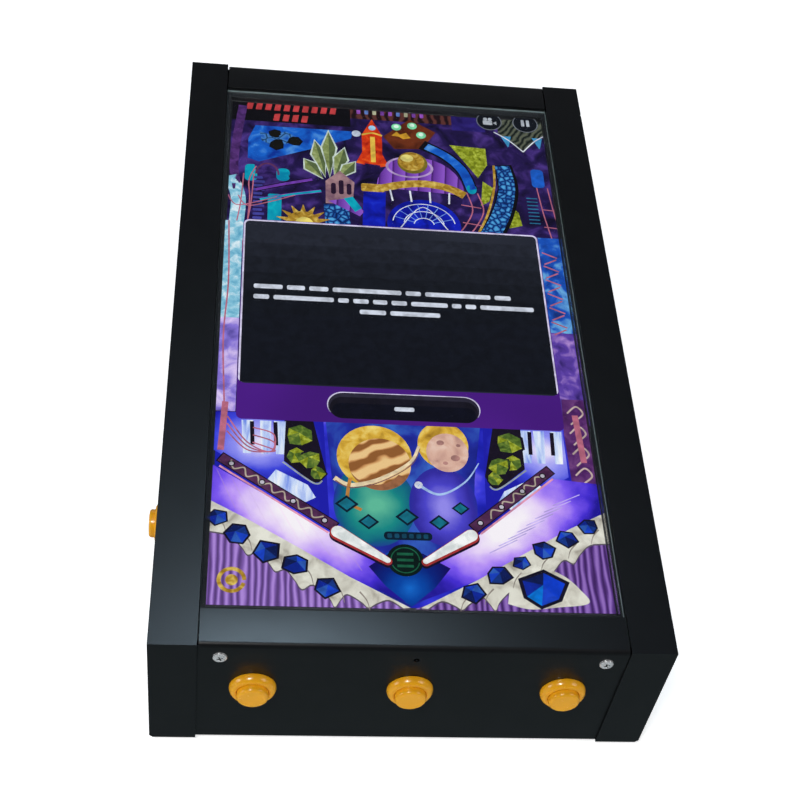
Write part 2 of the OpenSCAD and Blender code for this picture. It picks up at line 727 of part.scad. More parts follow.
module button_housing() {
    rim_r = bezel_d / 2;
    inner_r = plunger_d / 2 + running_gap;
    round_r = 2.4;
    slope_w = 2.6;
    edge_w = 0.8;
    edge_drop = 1.6;
    base_h = bezel_h - round_r - 1;
    mouth = 0.6;
    rim = [for (i = [0:6]) let (a = i * 15)
        [rim_r - slope_w - round_r + round_r * cos(a), bezel_h - round_r + round_r * sin(a)]];
    color([0.93, 0.68, 0.15]) rotate_extrude() polygon(concat(
        [[inner_r, bezel_h - mouth], [inner_r, -neck_depth], [chamber_r, -neck_depth],
         [chamber_r, -barrel_l + rear_wall], [stem_r + stem_gap, -barrel_l + rear_wall],
         [stem_r + stem_gap, -barrel_l], [barrel_d / 2, -barrel_l], [barrel_d / 2, 0],
         [rim_r, 0], [rim_r, base_h - edge_drop], [rim_r - edge_w, base_h]],
        rim, [[inner_r + mouth, bezel_h]]));
}

module button_plunger() {
    r = plunger_d / 2;
    wall = 1.8;
    hollow_r = r - wall;
    crown = 2.5;
    retainer_r = chamber_r - 0.1;
    retainer_top = -neck_depth - running_gap;
    edge = [for (i = [0:6]) let (a = i * 15)
        [r - cap_edge_r + cap_edge_r * cos(a), plunger_out - cap_edge_r + cap_edge_r * sin(a)]];
    color([0.95, 0.72, 0.17]) rotate_extrude() polygon(concat(
        [[0, stem_low], [stem_r, stem_low], [stem_r, post_low], [post_r, post_low],
         [post_r, plunger_out - crown], [hollow_r, plunger_out - crown],
         [hollow_r, retainer_top - retainer_t], [retainer_r, retainer_top - retainer_t],
         [retainer_r, retainer_top], [r, retainer_top]],
        edge, [[0, plunger_out]]));
}

// A coil of round wire between the plunger's post and the housing's rear wall.
module button_spring() {
    rest_gap = 0.05;
    low = -barrel_l + rear_wall + wire_r + rest_gap;
    high = post_low - wire_r - rest_gap;
    rings = spring_turns * spring_steps;
    points = [for (k = [0:rings], j = [0:wire_sides - 1])
        let (turn = 360 * k / spring_steps, side = 360 * j / wire_sides, r = spring_r + wire_r * cos(side))
            [r * cos(turn), r * sin(turn), low + (high - low) * k / rings + wire_r * sin(side)]];
    walls = [for (k = [0:rings - 1], j = [0:wire_sides - 1])
        let (a = k * wire_sides + j, b = k * wire_sides + (j + 1) % wire_sides)
            each [[a, b, b + wire_sides], [a, b + wire_sides, a + wire_sides]]];
    ends = [[for (j = [wire_sides - 1:-1:0]) j], [for (j = [0:wire_sides - 1]) rings * wire_sides + j]];
    color([0.75, 0.76, 0.78]) polyhedron(points, concat(walls, ends));
}

// The snap-action switch on the end of the barrel, with its three terminals.
module button_switch() {
    tab = [6.3, 0.8, 6];
    color([0.1, 0.1, 0.1]) translate([0, 0, -barrel_l - switch_size[2]]) difference() {
        union() {
            translate([-switch_size[0] / 2, -switch_size[1] / 2, 0]) cube(switch_size);
            for (x = [-9, 0, 9])
                translate([x - tab[0] / 2, -tab[1] / 2, -tab[2]]) cube([tab[0], tab[1], tab[2] + solder]);
        }
        translate([0, 0, switch_size[2] - pin_depth - button_travel - 1])
            cylinder(r = pin_r + running_gap, h = pin_depth + button_travel + 2);
    }
}

module button_switch_pin() {
    color([0.8, 0.2, 0.15]) translate([0, 0, -barrel_l - pin_depth])
        cylinder(r = pin_r, h = stem_low + barrel_l + pin_depth);
}

module button_nuts() {
    flutes = 12;
    flute_r = 2.2;
    flute_out = 1.2;
    nut_gap = 0.05;
    color([0.93, 0.68, 0.15]) for (i = [0:4]) at_button(i) translate([0, 0, -sheet - nut_t]) difference() {
        cylinder(d = nut_d, h = nut_t);
        translate([0, 0, -cut_over]) cylinder(r = barrel_d / 2 + nut_gap, h = nut_t + 2 * cut_over);
        for (k = [0:flutes - 1])
            rotate([0, 0, k * 360 / flutes]) translate([nut_d / 2 + flute_out, 0, -cut_over])
                cylinder(r = flute_r, h = nut_t + 2 * cut_over, $fn = 24);
    }
}

// ---- Drawing -------------------------------------------------------------------------------

placed() side_panel_left();
placed() side_panel_right();
placed() front_panel();
placed() front_lip();
placed() rear_crossbar();
placed() rear_panel();
placed() base_plate();
placed() rubber_feet();
placed() front_screws();
placed() rear_screws();
placed() base_screws();
placed() clinch_nuts();
placed() playfield_glass();
placed() glass_spacer();
placed() lip_seal();
placed() lcd_rim();
placed() lcd_cell();
placed() lcd_backlight();
placed() lcd_back_plate();
placed() lcd_brackets();
placed() lcd_driver_board();
placed() main_board();
placed() main_board_heatsink();
placed() power_supply();
placed() amplifier_board();
placed() button_encoder_board();
placed() board_standoffs();
placed() speaker_baskets();
placed() speaker_cones();
placed() mains_inlet();
placed() inlet_pins();
placed() inlet_screws();
placed() power_switch_body();
placed() power_switch_rocker();
placed() button_nuts();
for (i = [0:len(BUTTONS) - 1]) {
    placed() at_button(i) button_housing();
    placed() at_button(i) button_plunger();
    placed() at_button(i) button_spring();
    placed() at_button(i) button_switch();
    placed() at_button(i) button_switch_pin();
}
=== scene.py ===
"""Looks of the tabletop pinball cabinet: coated steel, push buttons, glass, lit screen and stage."""
import json
import math

import bpy
from bpy.props import FloatProperty, FloatVectorProperty, PointerProperty
from mathutils import Matrix, Vector

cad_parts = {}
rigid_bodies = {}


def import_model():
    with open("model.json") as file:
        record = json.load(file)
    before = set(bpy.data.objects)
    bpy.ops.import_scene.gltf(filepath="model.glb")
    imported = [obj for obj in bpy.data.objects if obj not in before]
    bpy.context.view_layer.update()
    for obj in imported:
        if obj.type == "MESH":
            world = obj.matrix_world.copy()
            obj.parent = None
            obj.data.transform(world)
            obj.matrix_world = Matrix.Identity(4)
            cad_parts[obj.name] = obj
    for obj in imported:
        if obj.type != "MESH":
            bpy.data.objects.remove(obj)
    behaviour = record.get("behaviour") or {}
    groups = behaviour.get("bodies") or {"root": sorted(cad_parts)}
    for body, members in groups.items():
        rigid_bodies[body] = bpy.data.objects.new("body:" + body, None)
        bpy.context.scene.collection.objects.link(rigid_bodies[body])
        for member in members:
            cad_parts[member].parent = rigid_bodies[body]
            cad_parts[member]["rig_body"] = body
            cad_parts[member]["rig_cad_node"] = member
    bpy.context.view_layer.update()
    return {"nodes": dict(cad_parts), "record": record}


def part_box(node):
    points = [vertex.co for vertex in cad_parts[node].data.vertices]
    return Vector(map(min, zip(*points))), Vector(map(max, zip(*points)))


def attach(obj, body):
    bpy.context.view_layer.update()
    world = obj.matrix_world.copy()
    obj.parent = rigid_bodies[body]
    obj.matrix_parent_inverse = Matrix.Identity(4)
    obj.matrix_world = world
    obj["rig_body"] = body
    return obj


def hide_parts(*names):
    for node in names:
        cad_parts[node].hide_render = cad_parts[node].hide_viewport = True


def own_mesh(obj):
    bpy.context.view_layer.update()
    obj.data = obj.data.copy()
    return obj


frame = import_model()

bl_info = {"name": "Tabletop pinball cabinet", "version": (1, 0, 0), "blender": (4, 5, 0),
           "location": "3D View > Sidebar > Pinball",
           "description": "Builds the finished looks of the pinball cabinet around its frame",
           "category": "Object",}

MM = 0.001
BUTTONS = ("front_left", "front_center", "front_right", "side_left", "side_right")
PLUNGER_RADIUS = 11.25 * MM
WELD = 0.004 * MM
FLAT = math.radians(0.5)
SHARP = math.radians(30.0)
ROUND_STEPS = 96
ROUND_SMOOTH = 40.0

# Edges and middle of the lit picture in the sloping top's own frame, in millimetres.
LEFT, RIGHT, FRONT, BACK = -147, 150, 36, 570
MIDDLE = -1.0
ABOVE_CELL = 0.15 * MM


# ---- Settings ------------------------------------------------------------------------------

class CabinetSettings(bpy.types.PropertyGroup):
    """Sizes and colours of the folded steel cabinet."""
    slope: FloatProperty(name="Slope", description="Slope of the cabinet's top", default=math.radians(7.0),
                         subtype="ANGLE", unit="ROTATION")
    fold_radius: FloatProperty(name="Fold radius", description="Outside radius of the folded edges",
                               default=0.8 * MM, unit="LENGTH")
    coat: FloatVectorProperty(name="Coat", description="Colour of the powder coat", subtype="COLOR",
                              default=(0.0045, 0.0047, 0.0055))


class ButtonSettings(bpy.types.PropertyGroup):
    """Sizes and colours of the push buttons."""
    plastic: FloatVectorProperty(name="Plastic", description="Colour of the buttons", subtype="COLOR",
                                 default=(0.84, 0.39, 0.010))
    rim_height: FloatProperty(name="Rim height", description="Height of the button's rim above its panel",
                              default=6.4 * MM, unit="LENGTH")
    edge_radius: FloatProperty(name="Edge radius", description="Rounding of the plunger's top edge",
                               default=2.3 * MM, unit="LENGTH")


class ScreenSettings(bpy.types.PropertyGroup):
    """Brightness and layering of the lit screen."""
    glow: FloatProperty(name="Glow", description="Brightness of the picture", default=1.0, min=0.0)
    layer_gap: FloatProperty(name="Layer gap", description="Spacing of the picture's layers",
                             default=0.02 * MM, unit="LENGTH")


class StageSettings(bpy.types.PropertyGroup):
    """Camera."""
    azimuth: FloatProperty(name="Azimuth", description="Camera's turn about the object", subtype="ANGLE",
                           unit="ROTATION", default=math.radians(-10.02))
    elevation: FloatProperty(name="Elevation", description="Camera's height angle", subtype="ANGLE",
                             unit="ROTATION", default=math.radians(45.20))
    roll: FloatProperty(name="Roll", description="Camera's roll about its view", subtype="ANGLE",
                        unit="ROTATION", default=math.radians(9.54))
    distance: FloatProperty(name="Distance", description="Camera's distance from its target",
                            default=1.184, unit="LENGTH")
    lens: FloatProperty(name="Lens", description="Focal length of the camera, in millimetres",
                        default=60.98)


def settings():
    """The scene's settings for this part."""
    return bpy.context.scene.pinball_looks


class PinballLooks(bpy.types.PropertyGroup):
    """All settings of the part."""
    cabinet: PointerProperty(type=CabinetSettings)
    buttons: PointerProperty(type=ButtonSettings)
    screen: PointerProperty(type=ScreenSettings)
    stage: PointerProperty(type=StageSettings)


# ---- Places taken from the frame -----------------------------------------------------------

def top_frame():
    """Matrix of the sloping top: x across, y along the slope, z = 0 on the top face at the front edge."""
    low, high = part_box("side_panel_right")
    slope = settings().cabinet.slope
    front_height = high.z - (high.y - low.y) * math.tan(slope)
    return Matrix.Translation((0, low.y, front_height)) @ Matrix.Rotation(slope, 4, "X")


def box_on_top(node):
    """Lowest and highest corner of a CAD node in the sloping top's own frame."""
    to_top = top_frame().inverted()
    points = [to_top @ v.co for v in frame["nodes"][node].data.vertices]
    low = Vector([min(p[i] for p in points) for i in range(3)])
    high = Vector([max(p[i] for p in points) for i in range(3)])
    return low, high


def button_frame(name):
    """Matrix of a button: z = 0 on its panel's outer face and pointing outwards."""
    low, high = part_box(f"button_{name}_housing")
    middle = (low + high) / 2
    if name.startswith("front"):
        return Matrix.Translation((middle.x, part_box("front_panel")[0].y,
                                   middle.z)) @ Matrix.Rotation(math.pi / 2, 4, "X")
    side = 1 if name == "side_right" else -1
    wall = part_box(f"side_panel_{'right' if side > 0 else 'left'}")
    x = wall[1].x if side > 0 else wall[0].x
    return Matrix.Translation((x, middle.y, middle.z)) @ Matrix.Rotation(side * math.pi / 2, 4, "Y")


# ---- Modelling helpers ----------------------------------------------------------------------

def select_only(piece):
    """Selects one object and makes it active."""
    bpy.ops.object.select_all(action="DESELECT")
    piece.select_set(True)
    bpy.context.view_layer.objects.active = piece


def edit(piece):
    """Enters edit mode on one object with everything selected."""
    select_only(piece)
    bpy.ops.object.mode_set(mode="EDIT")
    bpy.ops.mesh.select_all(action="SELECT")


def leave_edit():
    """Returns to object mode."""
    bpy.ops.object.mode_set(mode="OBJECT")


def apply_modifier(piece, kind, **values):
    """Adds a modifier, sets it and applies it."""
    select_only(piece)
    modifier = piece.modifiers.new(kind.title(), kind)
    for key, value in values.items():
        setattr(modifier, key, value)
    bpy.ops.object.modifier_apply(modifier=modifier.name)


def smooth(piece, degrees):
    """Smooth shading that keeps the edges sharper than an angle."""
    select_only(piece)
    bpy.ops.object.shade_smooth_by_angle(angle=math.radians(degrees))


def hand_over(piece, name, body, nodes, material=None):
    """Names a finished piece, sets its material, ties it to its body and hides the CAD nodes it stands for.
    """
    piece.name = name
    piece.data.name = name
    if material is not None:
        piece.data.materials.clear()
        piece.data.materials.append(material)
    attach(piece, body)
    if nodes:
        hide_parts(*nodes)
    return piece


def merged_copy(node):
    """A free copy of a CAD node with its loose triangles merged and its flat faces joined up."""
    source = frame["nodes"][node]
    select_only(source)
    bpy.ops.object.duplicate()
    piece = bpy.context.object
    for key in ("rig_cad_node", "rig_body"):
        if key in piece:
            del piece[key]
    bpy.ops.object.parent_clear(type="CLEAR_KEEP_TRANSFORM")
    bpy.ops.mesh.customdata_custom_splitnormals_clear()
    edit(piece)
    bpy.ops.mesh.remove_doubles(threshold=WELD)
    bpy.ops.mesh.dissolve_limited(angle_limit=FLAT)
    leave_edit()
    return piece


def rounded_copy(node, name, body, material, width, segments=2):
    """A copy of a CAD node whose sharp edges carry a small round."""
    piece = merged_copy(node)
    bpy.ops.object.shade_smooth()
    apply_modifier(piece, "BEVEL", width=width, segments=segments, limit_method="ANGLE", angle_limit=SHARP,
                   use_clamp_overlap=True, harden_normals=True)
    return hand_over(piece, name, body, [node], material)


def rounded_copies(rows):
    """Rounded copies on the cabinet. Rows hold node, name, slot, finish, round in millimetres, segments."""
    for node, name, slot, finish_name, width, segments in rows:
        rounded_copy(node, name, "cabinet", finish(finish_name), width * MM, segments)


def turned(profile, place, steps):
    """A solid of revolution about z from (radius, height) points.

    The points start and end on the axis, or close on themselves."""
    open_ended = profile[0][0] < 1e-9 and profile[-1][0] < 1e-9
    bpy.ops.object.select_all(action="DESELECT")
    bpy.ops.mesh.primitive_circle_add(vertices=len(profile), fill_type="NOTHING")
    piece = bpy.context.object
    for vertex, (radius, height) in zip(piece.data.vertices, profile):
        vertex.co = (radius, 0, height)
    if open_ended:
        last = len(profile) - 1
        for edge in piece.data.edges:
            edge.select = set(edge.vertices) == {0, last}
        for vertex in piece.data.vertices:
            vertex.select = False
        bpy.ops.object.mode_set(mode="EDIT")
        bpy.ops.mesh.select_mode(type="EDGE")
        bpy.ops.mesh.delete(type="EDGE")
        bpy.ops.mesh.select_mode(type="VERT")
        leave_edit()
    edit(piece)
    bpy.ops.mesh.spin(steps=steps, angle=2 * math.pi, center=(0, 0, 0), axis=(0, 0, 1))
    bpy.ops.mesh.select_all(action="SELECT")
    bpy.ops.mesh.remove_doubles(threshold=0.002 * MM)
    bpy.ops.mesh.normals_make_consistent(inside=False)
    leave_edit()
    piece.data.transform(place)
    smooth(piece, ROUND_SMOOTH)
    return piece


def arc(cx, cy, rx, ry, start, end, steps):
    """Points of an elliptical arc, angles in degrees."""
    turns = [math.radians(start + (end - start) * i / steps) for i in range(steps + 1)]
    return [(cx + rx * math.cos(a), cy + ry * math.sin(a)) for a in turns]


# ---- Materials ------------------------------------------------------------------------------

def shader(name, **values):
    """A new material and its Principled shader, with plain values set on its sockets."""
    material = bpy.data.materials.new(name)
    material.use_nodes = True
    principled = material.node_tree.nodes["Principled BSDF"]
    for key, value in values.items():
        socket = principled.inputs[key]
        socket.default_value = (*value, 1.0) if socket.type == "RGBA" else value
    return material, principled


def noise(material, scale, detail=3.0, roughness=0.5, stretch=None):
    """A noise texture on Object coordinates; scale counts features in a metre."""
    nodes, links = material.node_tree.nodes, material.node_tree.links
    place = nodes.new("ShaderNodeTexCoord").outputs["Object"]
    if stretch is not None:
        mapping = nodes.new("ShaderNodeMapping")
        mapping.inputs["Scale"].default_value = stretch
        links.new(place, mapping.inputs["Vector"])
        place = mapping.outputs["Vector"]
    texture = nodes.new("ShaderNodeTexNoise")
    texture.inputs["Scale"].default_value = scale
    texture.inputs["Detail"].default_value = detail
    texture.inputs["Roughness"].default_value = roughness
    links.new(place, texture.inputs["Vector"])
    return texture.outputs["Fac"]


def ramp(material, factor, stops):
    """A colour ramp over a factor; stops are (place, colour)."""
    nodes, links = material.node_tree.nodes, material.node_tree.links
    node = nodes.new("ShaderNodeValToRGB")
    elements = node.color_ramp.elements
    while len(elements) < len(stops):
        elements.new(0.5)
    for element, (place, colour) in zip(elements, stops):
        element.position = place
        element.color = (*colour, 1.0)
    links.new(factor, node.inputs["Fac"])
    return node.outputs["Color"]


def spread(material, factor, low, high):
    """Maps the middle part of a factor, where most of a noise lies, onto a range."""
    nodes, links = material.node_tree.nodes, material.node_tree.links
    node = nodes.new("ShaderNodeMapRange")
    for key, value in (("From Min", 0.3), ("From Max", 0.7), ("To Min", low), ("To Max", high)):
        node.inputs[key].default_value = value
    links.new(factor, node.inputs["Value"])
    return node.outputs["Result"]


def bump(material, principled, height, strength, distance):
    """Raises the surface by a height texture."""
    nodes, links = material.node_tree.nodes, material.node_tree.links
    node = nodes.new("ShaderNodeBump")
    node.inputs["Strength"].default_value = strength
    node.inputs["Distance"].default_value = distance
    links.new(height, node.inputs["Height"])
    links.new(node.outputs["Normal"], principled.inputs["Normal"])


def tinted(colour, factor):
    """A colour made lighter or darker."""
    return tuple(min(1.0, c * factor) for c in colour)


def finish_material(name, colour, roughness, variation, grain, patch, drift=0.15, **values):
    """A finish with a little colour variation, a drift in its gloss and a fine surface grain."""
    material, principled = shader(name, Roughness=roughness, **values)
    links = material.node_tree.links
    tones = [(0.3, tinted(colour, 1 - variation)), (0.7, tinted(colour, 1 + variation))]
    links.new(ramp(material, noise(material, patch, 4.0), tones), principled.inputs["Base Color"])
    gloss = noise(material, patch * 2.3, 5.0)
    links.new(spread(material, gloss, roughness * (1 - drift), min(1.0, roughness * (1 + drift))),
              principled.inputs["Roughness"])
    scale, strength, depth = grain
    bump(material, principled, noise(material, scale, 2.0), strength, depth * MM)
    return material


# Colour, roughness, colour variation, grain (features a metre, strength, depth in millimetres), patches a
# metre, and plain values for the shader's other sockets. The names differ from the frame's own materials'.
FINISHES = {
    "bright_plating": ((0.86, 0.87, 0.88), 0.28, 0.03, (2500.0, 0.05, 0.02), 300.0, {"Metallic": 0.6}),
    "cross_shadow": ((0.01, 0.01, 0.011), 0.6, 0.2, (2500.0, 0.05, 0.02), 300.0, {}),
    "black_oxide": ((0.03, 0.03, 0.033), 0.4, 0.2, (2200.0, 0.08, 0.02), 250.0, {"Metallic": 1.0}),
    "zinc_plating": ((0.55, 0.57, 0.6), 0.32, 0.18, (1500.0, 0.06, 0.02), 140.0, {"Metallic": 1.0}),
    "turned_brass": ((0.72, 0.5, 0.2), 0.25, 0.1, (1800.0, 0.06, 0.02), 300.0, {"Metallic": 1.0}),
    "dull_rubber": ((0.012, 0.012, 0.012), 0.8, 0.3, (1600.0, 0.25, 0.05), 200.0, {}),
    "moulded_nylon": ((0.012, 0.012, 0.013), 0.5, 0.2, (2600.0, 0.2, 0.03), 160.0, {}),
    "red_nylon": ((0.5, 0.03, 0.02), 0.35, 0.1, (1500.0, 0.1, 0.02), 200.0, {}),
    "glossy_black": ((0.01, 0.01, 0.011), 0.14, 0.15, (300.0, 0.03, 0.04), 120.0, {}),
    "satin_spacer": ((0.009, 0.010, 0.012), 0.5, 0.15, (1800.0, 0.08, 0.02), 90.0,
                     {"Specular IOR Level": 0.2}),
    "rim_lacquer": ((0.006, 0.006, 0.007), 0.5, 0.15, (1500.0, 0.08, 0.02), 90.0, {}),
    "milky_diffuser": ((0.8, 0.8, 0.77), 0.6, 0.03, (900.0, 0.05, 0.02), 40.0, {}),
    "cell_black": ((0.004, 0.004, 0.006), 0.2, 0.1, (500.0, 0.02, 0.02), 40.0, {}),
    "cone_paper": ((0.02, 0.02, 0.022), 0.75, 0.25, (1300.0, 0.3, 0.05), 150.0, {}),
    "basket_black": ((0.03, 0.03, 0.033), 0.45, 0.2, (900.0, 0.1, 0.03), 90.0, {}),
}


def finish(name):
    """The material of a named finish, made once."""
    material = bpy.data.materials.get(name)
    if material is not None:
        return material
    colour, roughness, variation, grain, patch, values = FINISHES[name]
    return finish_material(name, colour, roughness, variation, grain, patch, **values)


def refinish(node, material):
    """Gives a carried-over CAD node its material."""
    mesh = frame["nodes"][node].data
    mesh.materials.clear()
    mesh.materials.append(material)


def powder_coat():
    """Satin black powder coat with a fine orange peel."""
    return finish_material("powder_coat", tuple(settings().cabinet.coat), 0.31, 0.12, (1100.0, 0.12, 0.04),
                           45.0, 0.03, **{"Specular IOR Level": 0.42})


def button_plastic():
    """Glossy moulded plastic."""
    return finish_material("button_plastic", tuple(settings().buttons.plastic), 0.24, 0.04,
                           (350.0, 0.03, 0.05), 90.0, **{"Coat Weight": 0.25, "Coat Roughness": 0.10,
                                                         "Subsurface Weight": 0.08,
                                                         "Subsurface Radius": (0.002, 0.001, 0.0004)})


def mill_aluminium():
    """Rolled aluminium with fine lines along the sheet."""
    material, principled = shader("mill_aluminium", Metallic=1.0, Roughness=0.35)
    links = material.node_tree.links
    lines = noise(material, 60.0, 6.0, 0.6, stretch=(40.0, 1.0, 1.0))
    links.new(ramp(material, lines, [(0.3, (0.55, 0.56, 0.58)), (0.7, (0.7, 0.71, 0.73))]),
              principled.inputs["Base Color"])
    links.new(spread(material, lines, 0.28, 0.46), principled.inputs["Roughness"])
    bump(material, principled, lines, 0.08, 0.03 * MM)
    return material


def circuit_board(name, colour):
    """Solder mask over fine traces and pads."""
    material, principled = shader(name, Roughness=0.35)
    nodes, links = material.node_tree.nodes, material.node_tree.links
    cells = nodes.new("ShaderNodeTexBrick")
    cells.inputs["Scale"].default_value = 90.0
    cells.inputs["Mortar Size"].default_value = 0.08
    cells.inputs["Color1"].default_value = (*tinted(colour, 0.8), 1)
    cells.inputs["Color2"].default_value = (*tinted(colour, 1.2), 1)
    cells.inputs["Mortar"].default_value = (*tinted(colour, 1.9), 1)
    links.new(nodes.new("ShaderNodeTexCoord").outputs["Object"], cells.inputs["Vector"])
    links.new(cells.outputs["Color"], principled.inputs["Base Color"])
    bump(material, principled, cells.outputs["Fac"], 0.15, 0.03 * MM)
    return material


def srgb(red, green, blue):
    """A display colour, 0 to 255, as a linear one."""
    def linear(value):
        value /= 255.0
        return value / 12.92 if value <= 0.04045 else ((value + 0.055) / 1.055) ** 2.4
    return tuple(linear(v) for v in (red, green, blue))


def light_source(name):
    """A new material that only gives off light, with its emission shader and a Mapping node."""
    material = bpy.data.materials.new(name)
    material.use_nodes = True
    nodes, links = material.node_tree.nodes, material.node_tree.links
    nodes.clear()
    output = nodes.new("ShaderNodeOutputMaterial")
    emission = nodes.new("ShaderNodeEmission")
    emission.inputs["Strength"].default_value = settings().screen.glow
    links.new(emission.outputs["Emission"], output.inputs["Surface"])
    mapping = nodes.new("ShaderNodeMapping")
    links.new(nodes.new("ShaderNodeTexCoord").outputs["Object"], mapping.inputs["Vector"])
    return material, emission, mapping


def glow(name, centre, radii, turn, stops):
    """A lit patch that changes colour outwards from a point of the sloping top, last stop to first."""
    material, emission, mapping = light_source(name)
    nodes, links = material.node_tree.nodes, material.node_tree.links
    mapping.vector_type = "TEXTURE"
    mapping.inputs["Location"].default_value = top_frame() @ Vector((centre[0] * MM, centre[1] * MM, 0))
    mapping.inputs["Rotation"].default_value = (0, 0, math.radians(turn))
    mapping.inputs["Scale"].default_value = (radii[0] * MM, radii[1] * MM, 1.0)
    fade = nodes.new("ShaderNodeTexGradient")
    fade.gradient_type = "SPHERICAL"
    links.new(mapping.outputs["Vector"], fade.inputs["Vector"])
    total = nodes.new("ShaderNodeMath")
    links.new(fade.outputs["Fac"], total.inputs[0])
    links.new(spread(material, noise(material, 45.0, 3.0), -0.09, 0.09), total.inputs[1])
    colours = [(place, srgb(*colour)) for place, colour in stops]
    links.new(ramp(material, total.outputs["Value"], colours), emission.inputs["Color"])
    return material


def lit(name, stops, pattern="cloud", scale=60.0, turn=0.0, stretch=(1.0, 1.0, 1.0), detail=4.0):
    """A lit patch of the picture: colours over a cloud, crackle, plank or fold pattern, made once."""
    material = bpy.data.materials.get(name)
    if material is not None:
        return material
    material, emission, mapping = light_source(name)
    nodes, links = material.node_tree.nodes, material.node_tree.links
    mapping.inputs["Rotation"].default_value = (0, 0, math.radians(turn))
    mapping.inputs["Scale"].default_value = stretch
    if pattern == "cloud":
        texture = nodes.new("ShaderNodeTexNoise")
        texture.inputs["Detail"].default_value = detail
        texture.inputs["Distortion"].default_value = 0.6
        factor = texture.outputs["Fac"]
    elif pattern == "crackle":
        texture = nodes.new("ShaderNodeTexVoronoi")
        texture.feature = "DISTANCE_TO_EDGE"
        factor = texture.outputs["Distance"]
    else:
        texture = nodes.new("ShaderNodeTexWave")
        texture.wave_profile = "SAW" if pattern == "plank" else "SIN"
        texture.inputs["Distortion"].default_value = 0.6 if pattern == "plank" else 5.0
        texture.inputs["Detail"].default_value = 2.0
        texture.inputs["Detail Scale"].default_value = 1.5
        factor = texture.outputs["Fac"]
    texture.inputs["Scale"].default_value = scale
    links.new(mapping.outputs["Vector"], texture.inputs["Vector"])
    links.new(ramp(material, factor, [(place, srgb(*colour)) for place, colour in stops]),
              emission.inputs["Color"])
    return material


def plain_lit(name, colour):
    """A lit patch of nearly one colour, with a slight drift."""
    dark = tuple(0.88 * c for c in colour)
    light = tuple(min(255.0, 1.08 * c) for c in colour)
    return lit(name, [(0.35, dark), (0.65, light)], "cloud", 120.0, detail=2.0)


# ---- The picture on the screen ----------------------------------------------------------------

# Tones of one colour, red, green and blue from 0 to 255.
PLAIN_TONES = {
    "night_black": (13, 12, 18), "rail_pink": (184, 104, 128), "line_white": (222, 226, 246),
    "title_red": (190, 62, 66), "crystal_edge": (200, 214, 206), "crystal_shade": (88, 104, 66),
    "rocket_trim": (226, 186, 74), "window_rim": (214, 206, 236), "ink_pale": (206, 211, 226),
    "curl_beige": (196, 172, 168), "kicker_black": (24, 18, 34), "planet_shade": (150, 98, 66),
    "insert_dark": (10, 30, 48), "insert_sea": (22, 112, 134), "stone_rim": (92, 82, 96),
    "stone_vein": (150, 140, 132), "print_line": (190, 172, 244), "scroll_pale": (178, 164, 150),
    "mark_rim": (118, 124, 136), "mark_face": (18, 22, 30), "mark_ink": (176, 182, 192),
    "lamp_amber": (204, 150, 44), "rail_violet": (112, 60, 170), "arch_plum": (96, 52, 96),
    "capsule_blue": (28, 92, 196), "sun_core": (232, 212, 110), "porthole": (150, 196, 226),
    "orb_pale": (196, 206, 226), "ring_pale": (178, 150, 200), "ball_shade": (116, 104, 34),
    "ball_light": (222, 208, 120), "pill_top": (44, 42, 58), "pill_mid": (24, 22, 34),
    "pill_low": (14, 15, 29), "ring_dust": (236, 214, 176), "ring_gap": (120, 84, 90),
    "comet_tail": (168, 196, 250), "amber_bar": (190, 128, 62), "disc_dark": (8, 28, 26),
    "disc_green": (26, 92, 66), "gem_bed": (22, 20, 40), "gem_a": (22, 52, 128), "gem_b": (44, 88, 178),
    "gem_c": (14, 28, 84), "gem_d": (26, 66, 196), "gem_e": (16, 40, 150), "tube_rose": (226, 150, 180),
    "bat_shadow": (22, 14, 40), "bat_rubber": (170, 52, 52), "bat_white": (244, 250, 250),
    "lamp_mint": (120, 210, 160), "lamp_glint": (206, 250, 220), "step_blue": (66, 66, 150),
    "pane_sky": (66, 152, 206), "rung_teal": (40, 110, 150), "ray_blue": (120, 160, 250),
    "doorway": (42, 24, 50), "guide_grey": (150, 160, 170), "crater": (176, 128, 122),
    "insert_ink": (20, 70, 96), "gem_f": (14, 60, 200), "gem_g": (8, 116, 214),
    "screw_pale": (190, 186, 200), "pit_a": (20, 20, 16), "pit_b": (34, 24, 20),
}

